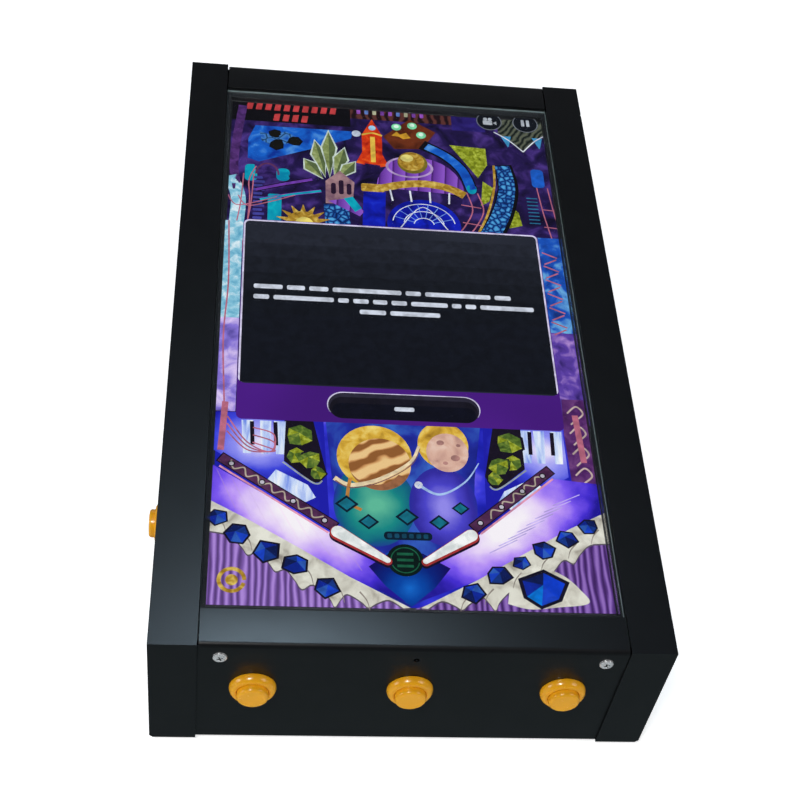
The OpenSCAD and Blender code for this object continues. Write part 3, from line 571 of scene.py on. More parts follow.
# Patterned tones: colours at places along a pattern, the pattern and its scale in features a metre.
PATTERNED_TONES = {
    "deep_indigo": dict(stops=[(0.3, (14, 10, 34)), (0.52, (38, 25, 80)), (0.75, (84, 58, 146))],
                        scale=55.0),
    "carved_stone": dict(stops=[(0.25, (150, 142, 132)), (0.45, (206, 202, 190)), (0.7, (236, 234, 222))],
                         scale=85.0),
    "blue_cobbles": dict(stops=[(0.0, (8, 18, 60)), (0.1, (18, 70, 150)), (0.35, (84, 170, 226))],
                         pattern="crackle", scale=190.0),
    "teal_channel": dict(stops=[(0.35, (2, 130, 168)), (0.65, (12, 176, 196))], scale=80.0),
    "azure_channel": dict(stops=[(0.3, (12, 50, 150)), (0.55, (24, 100, 206)), (0.75, (92, 160, 230))],
                          scale=70.0),
    "plum_boards": dict(stops=[(0.0, (56, 24, 88)), (0.2, (104, 54, 158)), (0.9, (142, 86, 202))],
                        pattern="plank", scale=26.0, turn=4.0),
    "moss": dict(stops=[(0.2, (62, 70, 12)), (0.5, (140, 152, 34)), (0.75, (196, 208, 84))], scale=260.0),
    "bronze_gold": dict(stops=[(0.25, (96, 66, 18)), (0.5, (176, 136, 44)), (0.75, (236, 208, 110))],
                        scale=150.0),
    "frost": dict(stops=[(0.25, (72, 152, 190)), (0.5, (142, 202, 226)), (0.7, (228, 244, 252))],
                  scale=130.0),
    "royal_blue": dict(stops=[(0.3, (8, 10, 110)), (0.6, (18, 34, 190)), (0.8, (40, 70, 230))]),
    "field_deep": dict(stops=[(0.3, (20, 24, 110)), (0.5, (34, 46, 160)), (0.7, (60, 110, 206))],
                       scale=26.0),
    "field_pool": dict(stops=[(0.3, (8, 40, 120)), (0.5, (10, 72, 176)), (0.7, (40, 120, 214))],
                       scale=40.0),
    "crystal_green": dict(stops=[(0.2, (92, 104, 58)), (0.5, (136, 150, 92)), (0.8, (184, 196, 140))],
                          scale=180.0),
    "rocket_red": dict(stops=[(0.3, (150, 22, 12)), (0.55, (220, 60, 20)), (0.8, (246, 120, 40))],
                       scale=110.0),
    "window_violet": dict(stops=[(0.2, (62, 22, 112)), (0.5, (76, 28, 134)), (0.8, (94, 36, 156))],
                          scale=9.0, detail=1.0),
    "carved_plum": dict(stops=[(0.2, (44, 18, 60)), (0.5, (84, 40, 104)), (0.8, (130, 78, 140))],
                        scale=90.0),
    "lane_white": dict(stops=[(0.3, (110, 140, 236)), (0.5, (206, 222, 255)), (0.7, (255, 255, 255))],
                       scale=50.0, stretch=(4.0, 0.5, 1.0)),
    "kicker_green": dict(stops=[(0.2, (40, 56, 22)), (0.5, (84, 112, 44)), (0.8, (156, 168, 66))],
                         scale=220.0),
    "planet_amber": dict(stops=[(0.25, (146, 92, 48)), (0.5, (210, 152, 96)), (0.75, (240, 200, 140))],
                         pattern="fold", scale=24.0, turn=62.0),
    "planet_gold": dict(stops=[(0.25, (150, 108, 30)), (0.5, (222, 176, 62)), (0.75, (250, 226, 130))],
                        scale=90.0),
    "field_blue": dict(stops=[(0.2, (8, 14, 96)), (0.45, (30, 34, 180)), (0.6, (60, 60, 226)),
                              (0.8, (150, 130, 250))],
                       scale=22.0, detail=3.0),
    "shelf_wood": dict(stops=[(0.2, (30, 16, 22)), (0.5, (58, 30, 34)), (0.8, (92, 50, 46))],
                       pattern="fold", scale=40.0),
    "rear_violet": dict(stops=[(0.3, (28, 18, 80)), (0.7, (52, 40, 130))], scale=50.0),
    "rust_panel": dict(stops=[(0.3, (66, 26, 14)), (0.7, (120, 54, 28))], scale=70.0),
    "violet_edge": dict(stops=[(0.3, (42, 22, 66)), (0.7, (96, 56, 130))], scale=120.0),
    "tray_relief": dict(stops=[(0.0, (10, 30, 60)), (0.12, (70, 130, 200)), (0.4, (20, 80, 180))],
                        pattern="crackle", scale=120.0),
    "rear_grille": dict(stops=[(0.0, (20, 24, 22)), (0.5, (58, 66, 60)), (1.0, (96, 100, 84))],
                        pattern="fold", turn=35.0),
    "gate_rose": dict(stops=[(0.3, (120, 86, 104)), (0.7, (176, 138, 142))], scale=120.0),
    "window_top": dict(stops=[(0.3, (30, 33, 44)), (0.7, (42, 45, 57))], scale=8.0, detail=1.0),
    "left_violet": dict(stops=[(0.2, (30, 26, 110)), (0.5, (140, 120, 220)), (0.7, (226, 204, 250))]),
    "right_blue": dict(stops=[(0.2, (16, 14, 60)), (0.5, (26, 84, 190)), (0.7, (120, 190, 236))],
                       scale=70.0),
    "right_violet": dict(stops=[(0.2, (40, 28, 92)), (0.5, (96, 66, 170)), (0.75, (190, 150, 220))],
                         scale=80.0),
    "moon_rose": dict(stops=[(0.25, (170, 120, 116)), (0.5, (222, 178, 160)), (0.75, (246, 218, 204))],
                      detail=2.0),
    "guide_maroon": dict(stops=[(0.3, (58, 28, 62)), (0.7, (98, 54, 92))], scale=120.0),
}


def tone(name):
    """The lit finish of a named tone, made once."""
    if name in PLAIN_TONES:
        return plain_lit(name, PLAIN_TONES[name])
    return lit(name, **PATTERNED_TONES[name])


class Picture:
    """Draws flat lit shapes on the screen, each group one layer above the last.

    Points are (across, along) in millimetres in the sloping top's own frame: across from the cabinet's
    centre line, along from its front edge."""
    level = 0

    def __init__(self, name):
        self.name = name
        self.shapes = []
        self.base = box_on_top("lcd_cell")[1].z + ABOVE_CELL

    def lift(self):
        """Moves on to the next layer."""
        Picture.level += 1

    def height(self):
        """Height of the present layer above the sloping top."""
        return self.base + Picture.level * settings().screen.layer_gap

    def shape(self, points, finish):
        """A filled outline; the finish is a tone's name or a material."""
        bpy.ops.object.select_all(action="DESELECT")
        bpy.ops.mesh.primitive_circle_add(vertices=len(points), fill_type="NGON")
        made = bpy.context.object
        for vertex, (across, along) in zip(made.data.vertices, points):
            vertex.co = (across * MM, along * MM, self.height())
        made.data.materials.append(tone(finish) if isinstance(finish, str) else finish)
        self.shapes.append(made)

    def box(self, x0, y0, x1, y1, finish, radius=0.0):
        """A rectangle, with round corners if a radius is given."""
        self.shape(box_outline(x0, y0, x1, y1, radius), finish)

    def disc(self, x, y, radius, finish, squeeze=1.0, sides=36):
        """A disc or an ellipse."""
        self.shape(arc(x, y, radius, radius * squeeze, 0, 360 - 360 / sides, sides - 1), finish)

    def band(self, points, width, finish, taper=1.0):
        """A strip along a smooth line, with an even or tapering width."""
        self.shape(band_outline(smooth_line(points), width, taper), finish)

    def rail(self, points, width, finish, edge):
        """A strip with a darker edge under it."""
        self.band(points, width * 1.6, edge)
        self.lift()
        self.band(points, width, finish)

    def gem(self, x, y, radius, blues, sides=6, turn=0.0, stretch=1.0):
        """A cut stone: facets of different tone round an off-centre point, on a dark bed."""
        rim = [(x + radius * (1 + 0.16 * math.cos(3.1 * i
                                                  + turn)) * math.cos(2 * math.pi * i / sides
                                                                      + turn) * stretch,
                y + radius * (1 + 0.12 * math.sin(2.3 * i
                                                  + turn)) * math.sin(2 * math.pi * i / sides + turn))
               for i in range(sides)]
        bed = [(x + (px - x) * 1.22, y + (py - y) * 1.22) for px, py in rim]
        self.shape(bed, blues[0])
        self.lift()
        tip = (x + 0.22 * radius * math.cos(turn + 1), y + 0.3 * radius)
        for i in range(sides):
            self.shape([tip, rim[i], rim[(i + 1) % sides]], blues[1
                                                                  + (i * 2 + int(turn)) % (len(blues) - 1)])

    def finish(self):
        """Joins the shapes into one piece on the screen."""
        bpy.ops.object.select_all(action="DESELECT")
        for made in self.shapes:
            made.select_set(True)
        bpy.context.view_layer.objects.active = self.shapes[0]
        if len(self.shapes) > 1:
            bpy.ops.object.join()
        piece = bpy.context.object
        piece.data.transform(top_frame())
        edit(piece)
        bpy.ops.mesh.normals_make_consistent(inside=False)
        leave_edit()
        up = top_frame().to_3x3() @ Vector((0, 0, 1))
        for face in piece.data.polygons:
            if face.normal.dot(up) < 0:
                face.flip()
        Picture.level += 1
        return hand_over(piece, self.name, "cabinet", [])


def box_outline(x0, y0, x1, y1, radius):
    """Outline of a rectangle with square or round corners."""
    if radius <= 0:
        return [(x0, y0), (x1, y0), (x1, y1), (x0, y1)]
    corners = [(x1 - radius, y1 - radius, 0), (x0 + radius, y1 - radius, 90),
               (x0 + radius, y0 + radius, 180), (x1 - radius, y0 + radius, 270)]
    return [p for cx, cy, a in corners for p in arc(cx, cy, radius, radius, a, a + 90, 8)]


def smooth_line(points, steps=8):
    """A smooth line through points."""
    if len(points) < 3:
        return list(points)
    line = []
    for i in range(len(points) - 1):
        before, a = points[max(i - 1, 0)], points[i]
        b, after = points[i + 1], points[min(i + 2, len(points) - 1)]
        for k in range(steps):
            t = k / steps
            line.append(tuple(0.5 * (2 * a[n] + (b[n] - before[n]) * t
                                     + (2 * before[n] - 5 * a[n] + 4 * b[n] - after[n]) * t * t
                                     + (3 * a[n] - before[n] - 3 * b[n] + after[n]) * t ** 3)
                              for n in (0, 1)))
    return line + [points[-1]]


def band_outline(line, width, taper=1.0):
    """Outline of a strip along a line."""
    left, right = [], []
    for i, (x, y) in enumerate(line):
        ahead, behind = line[min(i + 1, len(line) - 1)], line[max(i - 1, 0)]
        dx, dy = ahead[0] - behind[0], ahead[1] - behind[1]
        size = math.hypot(dx, dy) or 1.0
        half = width / 2 * (1 + (taper - 1) * i / (len(line) - 1))
        left.append((x - dy / size * half, y + dx / size * half))
        right.append((x + dy / size * half, y - dx / size * half))
    return left + right[::-1]


def mirrored(points):
    """Points mirrored left to right about the picture's middle."""
    return [(2 * MIDDLE - x, y) for x, y in points]


def curtain(name, light):
    """Upright pleats; light lifts all of their colours, and a large lift is a painted reflection of a veil on
    the glass.
    """
    tones = [(0.0, (62, 34, 96)), (0.5, (102, 66, 148)), (1.0, (146, 108, 190))]
    lifted = [(place, tuple(value + light for value in colour)) for place, colour in tones]
    return lit(name, lifted, "fold", 58.0, stretch=(1.0, 0.16, 1.0))


class PINBALL_OT_backdrop(bpy.types.Operator):
    """Lays the picture's ground: dark frame, deep sky and the lit lower field"""
    bl_idname = "pinball.backdrop"
    bl_label = "Picture ground"

    def execute(self, context):
        draw = Picture("screen_ground")
        low, high = box_on_top("lcd_cell")
        draw.box(low.x / MM, low.y / MM, high.x / MM, high.y / MM, "night_black")
        draw.lift()
        draw.box(LEFT, FRONT, RIGHT, BACK, "deep_indigo")
        draw.lift()
        draw.box(LEFT, FRONT, RIGHT, 205, "field_blue")
        draw.lift()
        draw.shape([(-62, 200), (60, 200), (52, 150), (48, 105), (40, 62), (-3, 38), (-44, 62), (-52, 105),
                    (-58, 150)], "field_deep")
        draw.lift()
        draw.shape([(-30, 74), (-16, 84), (6, 84), (26, 70), (22, 54), (-3, 40), (-26, 54)], "field_pool")
        draw.finish()
        return {"FINISHED"}


class PINBALL_OT_upper_field(bpy.types.Operator):
    """Draws the upper playfield: ramps, cobbled lanes, rails and ornaments"""
    bl_idname = "pinball.upper_field"
    bl_label = "Upper playfield"

    def execute(self, context):
        draw = Picture("screen_upper_field")
        self.back_wall(draw)
        self.left_lanes(draw)
        self.right_lanes(draw)
        self.ornaments(draw)
        draw.finish()
        return {"FINISHED"}

    def back_wall(self, draw):
        """The dark title strip, shelves and lamps along the rear."""
        draw.box(LEFT, 540, -36, BACK, "night_black")
        draw.box(-36, 552, 60, BACK, "shelf_wood")
        draw.box(60, 545, 92, BACK, "rear_violet")
        draw.shape([(-6, 530), (20, 556), (44, 540), (30, 516), (4, 514)], "rust_panel")
        draw.lift()
        for row, (start, count, y) in enumerate(((-133, 10, 560), (-108, 4, 546))):
            for i in range(count):
                x = start + i * 8.6
                draw.shape([(x, y - 4), (x + 5.4, y - 4), (x + 6.8, y + 5 + (i + row) % 2),
                            (x + 1.4, y + 5)], "title_red")
        jars = [(150, 80, 190), (90, 120, 190), (180, 180, 150), (110, 60, 150)]
        for i in range(9):
            draw.box(-30 + i * 7.5, 559, -26.5 + i * 7.5, 566 + i % 3,
                     plain_lit(f"jar_{i % 4}", jars[i % 4]), 1.0)
        for x, y in ((7, 544), (22, 547), (30, 535)):
            draw.disc(x, y, 4.6, "lamp_mint")
        draw.shape([(2, 532), (7, 538), (10, 534), (16, 537), (20, 530), (13, 528), (9, 531)], "lamp_amber")
        draw.lift()
        for x, y in ((7, 545), (22, 548), (30, 536)):
            draw.disc(x, y, 2.4, "lamp_glint")

    def left_lanes(self, draw):
        """The blue tray, capsules, stepping lane and crossing rails on the left."""
        draw.shape([(-124, 534), (-34, 534), (-36, 524), (-70, 508), (-120, 486), (-130, 490), (-130, 516)],
                   "azure_channel")
        draw.band([(-136, 560), (-140, 520), (-142, 480), (-138, 450)], 8, "violet_edge")
        draw.shape([(-124, 486), (-108, 488), (-92, 484), (-88, 470), (-92, 462), (-122, 462)],
                   "deep_indigo")
        draw.box(-132, 461, -121, 482, "teal_channel", 4)
        draw.box(-104, 463, -92, 479, "teal_channel", 5)
        draw.band([(-145, 466), (-137, 440), (-138, 400), (-139, 340), (-140, 300)], 13, "frost")
        draw.lift()
        for i in range(11):
            y = 414 + i * 5
            draw.box(-124, y, -116 + 2 * (i % 2), y + 3, "step_blue", 0.8)
        draw.box(-111, 409, -99, 446, "teal_channel", 2)
        draw.shape([(-60, 409), (-38, 409), (-40, 437), (-62, 437)], "blue_cobbles")
        draw.shape([(-120, 526), (-108, 522), (-96, 528), (-84, 520), (-94, 512), (-108, 508), (-118, 514)],
                   "tray_relief")
        for x, y, r in ((-106, 524, 5), (-88, 516, 5.5), (-104, 510, 6)):
            draw.gem(x, y, r, ["night_black", "pit_a", "pit_b"], 7, x)
        draw.lift()
        draw.rail([(-122, 450), (-100, 458), (-72, 467)], 3.2, "rail_violet", "night_black")
        draw.rail([(-118, 438), (-92, 446), (-64, 453)], 2.4, "teal_channel", "rail_violet")
        for shift in (0, 9):
            draw.band([(-146 + shift, 442), (-138 + shift, 430), (-118 + shift, 436), (-96 + shift, 446)],
                      1.1, "rail_pink")
            draw.band([(-133 + shift, 470), (-135 + shift, 430), (-141 + shift, 380), (-143 + shift, 330)],
                      1.1, "rail_pink")
        draw.band([(-122, 480), (-128, 462), (-127, 440), (-128, 412)], 1.1, "rail_pink")
        arch = arc(-112, 470, 10, 14, 180, 0, 10)
        draw.band(arch, 2.0, "arch_plum")

    def right_lanes(self, draw):
        """The board fan, curved channel, moss beds and cobbled lane on the right."""
        fan = [(-6, 462)] + arc(26, 462, 40, 42, 176, 10, 14) + [(66, 458)]
        draw.shape(fan, "plum_boards")
        draw.shape([(56, 524), (90, 522), (90, 500), (80, 482), (70, 500)], "moss")
        draw.shape([(84, 478), (93, 470), (88, 452), (80, 446)], "moss")
        draw.shape([(108, 448), (114, 440), (116, 424), (104, 420), (103, 430)], "moss")
        draw.shape([(104, 545), (126, 520), (148, 545), (148, BACK), (104, BACK)], "rear_grille")
        draw.lift()
        draw.band([(30, 522), (52, 508), (66, 490), (73, 466)], 13, "night_black", 0.9)
        draw.band([(104, 501), (107, 470), (98, 435), (84, 405)], 18, "night_black", 1.25)
        draw.band([(-8, 462), (12, 468), (32, 470), (52, 466), (66, 458)], 9, "bronze_gold")
        draw.lift()
        draw.band([(34, 520), (52, 508), (66, 490), (73, 466)], 8.5, "azure_channel", 1.1)
        draw.band([(104, 500), (106, 470), (97, 435), (83, 405)], 14, "blue_cobbles", 1.25)
        draw.band([(96, 500), (94, 470), (85, 435), (72, 405)], 2.2, "bronze_gold")
        draw.disc(73, 467, 4.6, "teal_channel", 1.4)
        draw.box(130, 474, 142, 498, "capsule_blue", 4)
        for x0, x1 in ((106, 116), (136, 146)):
            draw.shape([(x0, 541), (x1, 541), (x1 - 3, 528), (x0 + 6, 526)], "pane_sky")
        for i in range(8):
            draw.band([(123, 428 + i * 4.5), (133, 428 + i * 4.5)], 1.3, "rung_teal")
        draw.shape([(-28, 410), (-8, 410), (-6, 456), (-26, 456)], "royal_blue")
        draw.box(-28, 456, -7, 466, "bronze_gold", 2)
        draw.disc(27, 418, 33, "royal_blue", 0.95, 48)
        draw.lift()
        for offset in (0, 10):
            draw.band([(134 + offset, 474), (137 + offset, 440), (142 + offset, 405)], 1.1, "rail_pink")
            draw.band([(68 + offset, 462), (72 + offset, 440), (64 + offset, 420), (56 + offset, 408)], 1.2,
                      "rail_pink")
        for y in (424, 446):
            draw.band([(136, y), (149, y - 1)], 1.1, "rail_pink")
            draw.band([(62, y), (80, y - 3)], 1.1, "rail_pink")
        draw.band([(126, 521), (113, 536), (100, 546)], 1.2, "line_white")
        draw.band([(126, 521), (138, 536), (149, 545)], 1.2, "line_white")
        for i in range(4):
            draw.band([(-2 + i * 18, 460), (0 + i * 17, 446)], 1.6, "line_white")
        self.arena_lines(draw)

    def arena_lines(self, draw):
        """Fine rings and rays on the blue disc."""
        for radius in (28, 18, 9):
            draw.band(arc(27, 418, radius, radius * 0.92, 8, 172, 16), 0.9, "line_white")
        for angle in range(20, 161, 20):
            a = math.radians(angle)
            draw.band([(27 + 9 * math.cos(a), 418 + 8 * math.sin(a)),
                       (27 + 28 * math.cos(a), 418 + 26 * math.sin(a))], 0.7, "ray_blue")
        draw.band([(5, 412), (27, 440), (49, 412)], 1.0, "line_white")

    def ornaments(self, draw):
        """The crystal cluster, gate, rocket, ringed ball and half sun."""
        draw.lift()
        crystals = [((-62, 468), (-80, 494)), ((-60, 470), (-70, 520)), ((-56, 470), (-57, 534)),
                    ((-52, 470), (-42, 512)), ((-50, 468), (-32, 494))]
        for (bx, by), (tx, ty) in crystals:
            dx, dy = tx - bx, ty - by
            size = math.hypot(dx, dy)
            nx, ny = -dy / size * 8, dx / size * 8
            mx, my = bx + dx * 0.62, by + dy * 0.62
            draw.shape([(bx, by), (mx + nx, my + ny), (tx, ty), (mx - nx, my - ny)], "crystal_edge")
            draw.lift()
            draw.shape([(bx, by + 1), (mx + nx * 0.78, my + ny * 0.78), (tx - dx * 0.05, ty - dy * 0.05)],
                       "crystal_green")
            draw.shape([(bx, by + 1), (mx - nx * 0.78, my - ny * 0.78), (tx - dx * 0.05, ty - dy * 0.05)],
                       "crystal_shade")
            draw.lift()
        draw.shape([(-60, 438), (-36, 438), (-34, 466), (-47, 480), (-60, 466)], "gate_rose")
        draw.lift()
        for x, top in ((-53, 464), (-46, 468), (-39, 464)):
            draw.box(x - 2.2, 450, x + 2.2, top, "doorway", 2.1)
        draw.shape([(-58, 441), (-38, 446), (-26, 430), (-30, 424)], "plum_boards")
        draw.lift()
        draw.shape([(-44, 445), (-36, 448), (-28, 434), (-34, 429)], "teal_channel")
        self.rocket(draw)
        self.ringed_ball(draw)
        half_sun = arc(-80, 412, 15, 14, 0, 180, 12)
        draw.shape(half_sun, "bronze_gold")
        for angle in range(15, 180, 25):
            a = math.radians(angle)
            draw.band([(-80 + 15 * math.cos(a), 412 + 14 * math.sin(a)),
                       (-80 + 24 * math.cos(a), 412 + 22 * math.sin(a))], 4.5, "bronze_gold", 0.15)
        draw.lift()
        draw.shape(arc(-79, 411, 8, 8, 0, 180, 10), "sun_core")

    def rocket(self, draw):
        """A plain red rocket with gold trim."""
        draw.lift()
        draw.shape([(-32, 492), (-24, 512), (-24, 490)], "rocket_red")
        draw.shape([(-2, 490), (-10, 512), (-10, 488)], "rocket_red")
        draw.shape([(-26, 492), (-8, 490), (-7, 530), (-16, 552), (-26, 530)], "rocket_red")
        draw.lift()
        draw.band([(-26, 530), (-16, 533), (-7, 530)], 2.0, "rocket_trim")
        draw.band([(-16, 494), (-16, 528)], 4.5, "rocket_trim")
        draw.disc(-16, 540, 3.4, "porthole")
        draw.disc(-31, 531, 4.2, "orb_pale")

    def ringed_ball(self, draw):
        """A golden ball in a pale ring."""
        draw.lift()
        draw.disc(17, 490, 22, "ring_pale", 0.62)
        draw.lift()
        draw.disc(17, 490, 19.5, "plum_boards", 0.6)
        draw.lift()
        draw.disc(20, 496, 14, "ball_shade")
        draw.lift()
        draw.disc(19, 498, 12.2, "bronze_gold")
        draw.lift()
        draw.disc(15, 502, 6, "ball_light", 0.8)


class PINBALL_OT_message(bpy.types.Operator):
    """Draws the message window, its greeked lines and the button under it"""
    bl_idname = "pinball.message"
    bl_label = "Message window"

    def execute(self, context):
        draw = Picture("screen_message")
        draw.box(-131.5, 197, 127.5, 411.5, "window_violet", 5)
        draw.lift()
        draw.box(-131, 232.5, 127, 411, "window_rim", 5)
        draw.lift()
        draw.box(-129.6, 232, 125.6, 409.4, "window_top", 4)
        draw.lift()
        shades = [(398, (36, 39, 50)), (384, (31, 34, 44)), (368, (27, 30, 39)), (350, (23, 26, 34)),
                  (330, (19, 22, 30)), (305, (19, 22, 31)), (275, (18, 21, 30))]
        for top, colour in shades:
            draw.box(-129.6, 233.2, 125.6, top, plain_lit(f"window_{top}", colour))
            draw.lift()
        self.lines(draw)
        self.push_plate(draw)
        draw.finish()
        return {"FINISHED"}

    def lines(self, draw):
        """Three lines of plain bars, one bar for each word."""
        rows = [(332, -121, (24, 15, 16, 58, 13, 56, 14)), (320.5, -121,
                                                            (13, 50, 9, 13, 12, 13, 31, 8, 9, 46)),
                (309, -33, (22, 42))]
        for y, start, words in rows:
            x = start
            for length in words:
                draw.box(x, y, x + length, y + 4.8, "ink_pale", 1.6)
                x += length + 3.6

    def push_plate(self, draw):
        """The dark pill under the window."""
        draw.box(-61, 202, 61, 227, "window_rim", 12.4)
        draw.lift()
        draw.box(-60.2, 201, 60.2, 226.2, "pill_top", 12.4)
        draw.lift()
        draw.box(-58.8, 201, 58.8, 222, "pill_mid", 10)
        draw.lift()
        draw.box(-57, 201.6, 57, 216, "pill_low", 7)
        draw.lift()
        draw.box(-8, 210, 8, 214, "ink_pale", 1.6)


class PINBALL_OT_lower_field(bpy.types.Operator):
    """Draws the lower playfield: lanes, planets, stone border and cut stones"""
    bl_idname = "pinball.lower_field"
    bl_label = "Lower playfield"

    def execute(self, context):
        draw = Picture("screen_lower_field")
        self.side_strips(draw)
        self.lanes(draw)
        self.planets(draw)
        self.lit_floor(draw)
        self.inserts(draw)
        draw.finish()
        stones = Picture("screen_stone_border")
        self.apron(stones)
        stones.finish()
        return {"FINISHED"}

    def side_strips(self, draw):
        """The frosted strip on the left and the carved post on the right."""
        draw.box(LEFT, 300, -132, 410, "frost")
        draw.box(LEFT, 205, -132, 300, "left_violet")
        draw.box(128, 300, RIGHT, 410, "right_blue")
        draw.box(128, 205, RIGHT, 300, "right_violet")
        draw.lift()
        draw.shape([(129, 230), (147, 230), (RIGHT, 130), (137, 122), (128, 150), (127, 195)],
                   "carved_plum")
        draw.disc(-140, 325, 7, "frost", 1.8)
        draw.lift()
        for y in (216, 196, 176, 156):
            draw.band([(132, y), (140, y + 7), (145, y), (138, y - 7), (134, y - 11)], 1.5, "curl_beige")
        draw.band(arc(142, 138, 6, 8, 0, 340, 16), 1.4, "curl_beige")
        for i in range(12):
            draw.band([(130 + 12 * (i % 2), 392 - i * 8), (143 - 12 * (i % 2), 386 - i * 8)], 1.4,
                      "rail_pink")
        draw.band([(-144, 410), (-142, 340), (-144, 280), (-141, 215), (-139, 165)], 1.3, "rail_pink")

    def lanes(self, draw):
        """Lane guides, slot lights and the two kicker islands."""
        for side in (1, -1):
            def place(points):
                return points if side > 0 else mirrored(points)
            shine = glow(f"lane_glow_{side + 1}", place([(-112, 178)])[0], (50, 38), 0.0,
                         [(0.05, (30, 30, 170)), (0.3, (62, 70, 224)), (0.6, (150, 150, 250)),
                          (0.9, (236, 228, 255))])
            outer = LEFT if side > 0 else -128
            draw.lift()
            draw.shape(place([(outer, 204), (-64, 204), (-60, 110), (outer, 168 if side > 0 else 154)]),
                       shine)
            draw.lift()
            for x in (-122, -108, -97):
                draw.shape(place([(x - 5, 197), (x + 4, 197), (x + 3, 166), (x - 3, 166)]), "lane_white")
            draw.shape(place([(-94, 200), (-72, 200), (-62, 152), (-66, 142), (-72, 141), (-94, 160)]),
                       "kicker_black")
            draw.shape(place([(-100, 152), (-76, 139), (-70, 128), (-84, 120), (-108, 140)]), "lane_white")
            draw.lift()
            for x in (-119, -101):
                draw.band(place([(x, 196), (x + 1, 174)]), 3.2, "kicker_black")
            for i, (x, y, r) in enumerate(((-83, 184, 10), (-85, 165, 7), (-74, 162, 8), (-69, 150, 6))):
                gem_x = x if side > 0 else 2 * MIDDLE - x
                draw.gem(gem_x, y, r, ["kicker_black", "kicker_green", "moss", "kicker_green"], 7, i + 0.5)
            draw.band(place([(-140, 214), (-141, 190), (-142, 168)]), 5.0, "rail_pink")
            draw.lift()
            draw.band(place([(-95, 159), (-72, 141), (-65, 143)]), 1.4, "guide_grey")
        for bow in (0, 7, 14):
            draw.band([(-138, 200 - bow), (-122, 176 - bow / 2), (-104, 168), (-102, 184 - bow),
                       (-118, 190 - bow)], 1.2, "rail_pink")

    def planets(self, draw):
        """A banded planet with a tilted ring and a small moon, over coloured mist."""
        field = (34, 44, 156)
        teal_mist = glow("mist_teal", (-26, 124), (36, 44), 0.0,
                         [(0.05, field), (0.22, (14, 96, 128)), (0.5, (26, 138, 134)),
                          (0.9, (96, 188, 156))])
        violet_mist = glow("mist_violet", (26, 124), (30, 42), 0.0,
                           [(0.05, field), (0.25, (52, 44, 160)), (0.5, (78, 70, 206)),
                            (0.9, (150, 140, 240))])
        draw.disc(-26, 124, 31, teal_mist, 1.2)
        draw.lift()
        draw.disc(26, 124, 26, violet_mist, 1.35)
        draw.lift()
        draw.disc(-25, 167, 29, "planet_gold")
        draw.disc(29, 180, 20, "planet_gold", 1.1)
        draw.lift()
        draw.disc(-21, 160, 24, "planet_amber")
        draw.disc(32, 173, 16.5, "moon_rose", 1.1)
        draw.lift()
        draw.shape(arc(-21, 160, 24, 24, 200, 330, 16) + arc(-25, 164, 22, 23, 325, 205, 14),
                   "planet_shade")
        for x, y, r in ((27, 182, 3.0), (38, 168, 3.6), (30, 163, 2.0), (41, 180, 1.8)):
            draw.disc(x, y, r, "crater", 0.8)
        draw.lift()
        ring = [(-56, 146), (-44, 140), (-22, 146), (2, 162), (10, 178)]
        draw.band(ring, 4.2, "ring_dust", 0.5)
        draw.lift()
        draw.band([(x + 0.8, y - 2.4) for x, y in ring], 1.1, "ring_gap", 0.5)
        draw.band([(8, 142), (24, 134), (44, 146), (56, 164)], 2.6, "comet_tail", 0.3)
        draw.disc(8, 142, 3.2, "line_white")
        draw.band([(-44, 146), (-46, 126), (-36, 118)], 2.6, "amber_bar")

    def inserts(self, draw):
        """Lozenge lights in an arc and the round light between the flippers."""
        draw.lift()
        lozenges = [(-47, 123, 9), (-31, 108, 8), (-2, 113, 9), (22, 109, 8), (39, 122, 7)]
        for x, y, r in lozenges:
            draw.shape([(x - r, y), (x, y - r * 0.85), (x + r, y), (x, y + r * 0.85)], "insert_dark")
        draw.box(-20, 93, 16, 100, "insert_dark", 3)
        draw.disc(-5, 76, 13.5, "disc_dark")
        draw.lift()
        for x, y, r in lozenges:
            draw.shape([(x - r * 0.7, y), (x, y - r * 0.6), (x + r * 0.7, y), (x, y + r * 0.6)],
                       "insert_sea")
        for i in range(6):
            draw.box(-17.5 + i * 5.4, 94.6, -14 + i * 5.4, 98.4, "insert_ink", 1)
        draw.band(arc(-5, 76, 10.5, 10.5, 0, 350, 24), 0.9, "disc_green")
        for y in (80, 75, 70):
            draw.box(-11, y, 1, y + 2.2, "disc_green")

    def apron(self, draw):
        """The carved stone border and the pleated corners."""
        # The left pleats get a lift of 30 as a painted reflection of a veil on the glass; the right ones get
        # only 4.
        draw.shape([(LEFT, 102), (LEFT, FRONT), (-4, FRONT), (-60, 60)], curtain("pleats_left_painted_reflection", 30))
        draw.shape([(RIGHT, 102), (RIGHT, FRONT), (0, FRONT), (60, 60)], curtain("pleats_right", 4))
        draw.lift()
        left = self.stone_outline(LEFT, -3)
        right = [(1.5 - x if x > -140 else RIGHT, y) for x, y in left]
        for outline in (left, right):
            draw.shape([(x, y - 1.3) for x, y in outline], "stone_rim")
        draw.lift()
        for outline in (left, right):
            draw.shape(outline, "carved_stone")
        draw.lift()
        for x, y in ((-137, 103), (-118, 90), (-96, 78), (-74, 64), (-52, 50), (-34, 44)):
            draw.band([(x - 5, y + 5), (x, y - 2), (x + 2, y - 10)], 1.3, "stone_vein", 0.3)
            draw.band([(6.5 - x, y + 4), (1.5 - x, y - 2), (-1 - x, y - 9)], 1.3, "stone_vein", 0.3)
        draw.shape(smooth_line([(68, 42), (84, 38), (104, 40), (128, 44), (122, 56), (112, 66), (98, 72),
                                (82, 70), (72, 58), (68, 42)])[:-1], "carved_stone")
        draw.lift()
        self.set_stones(draw)

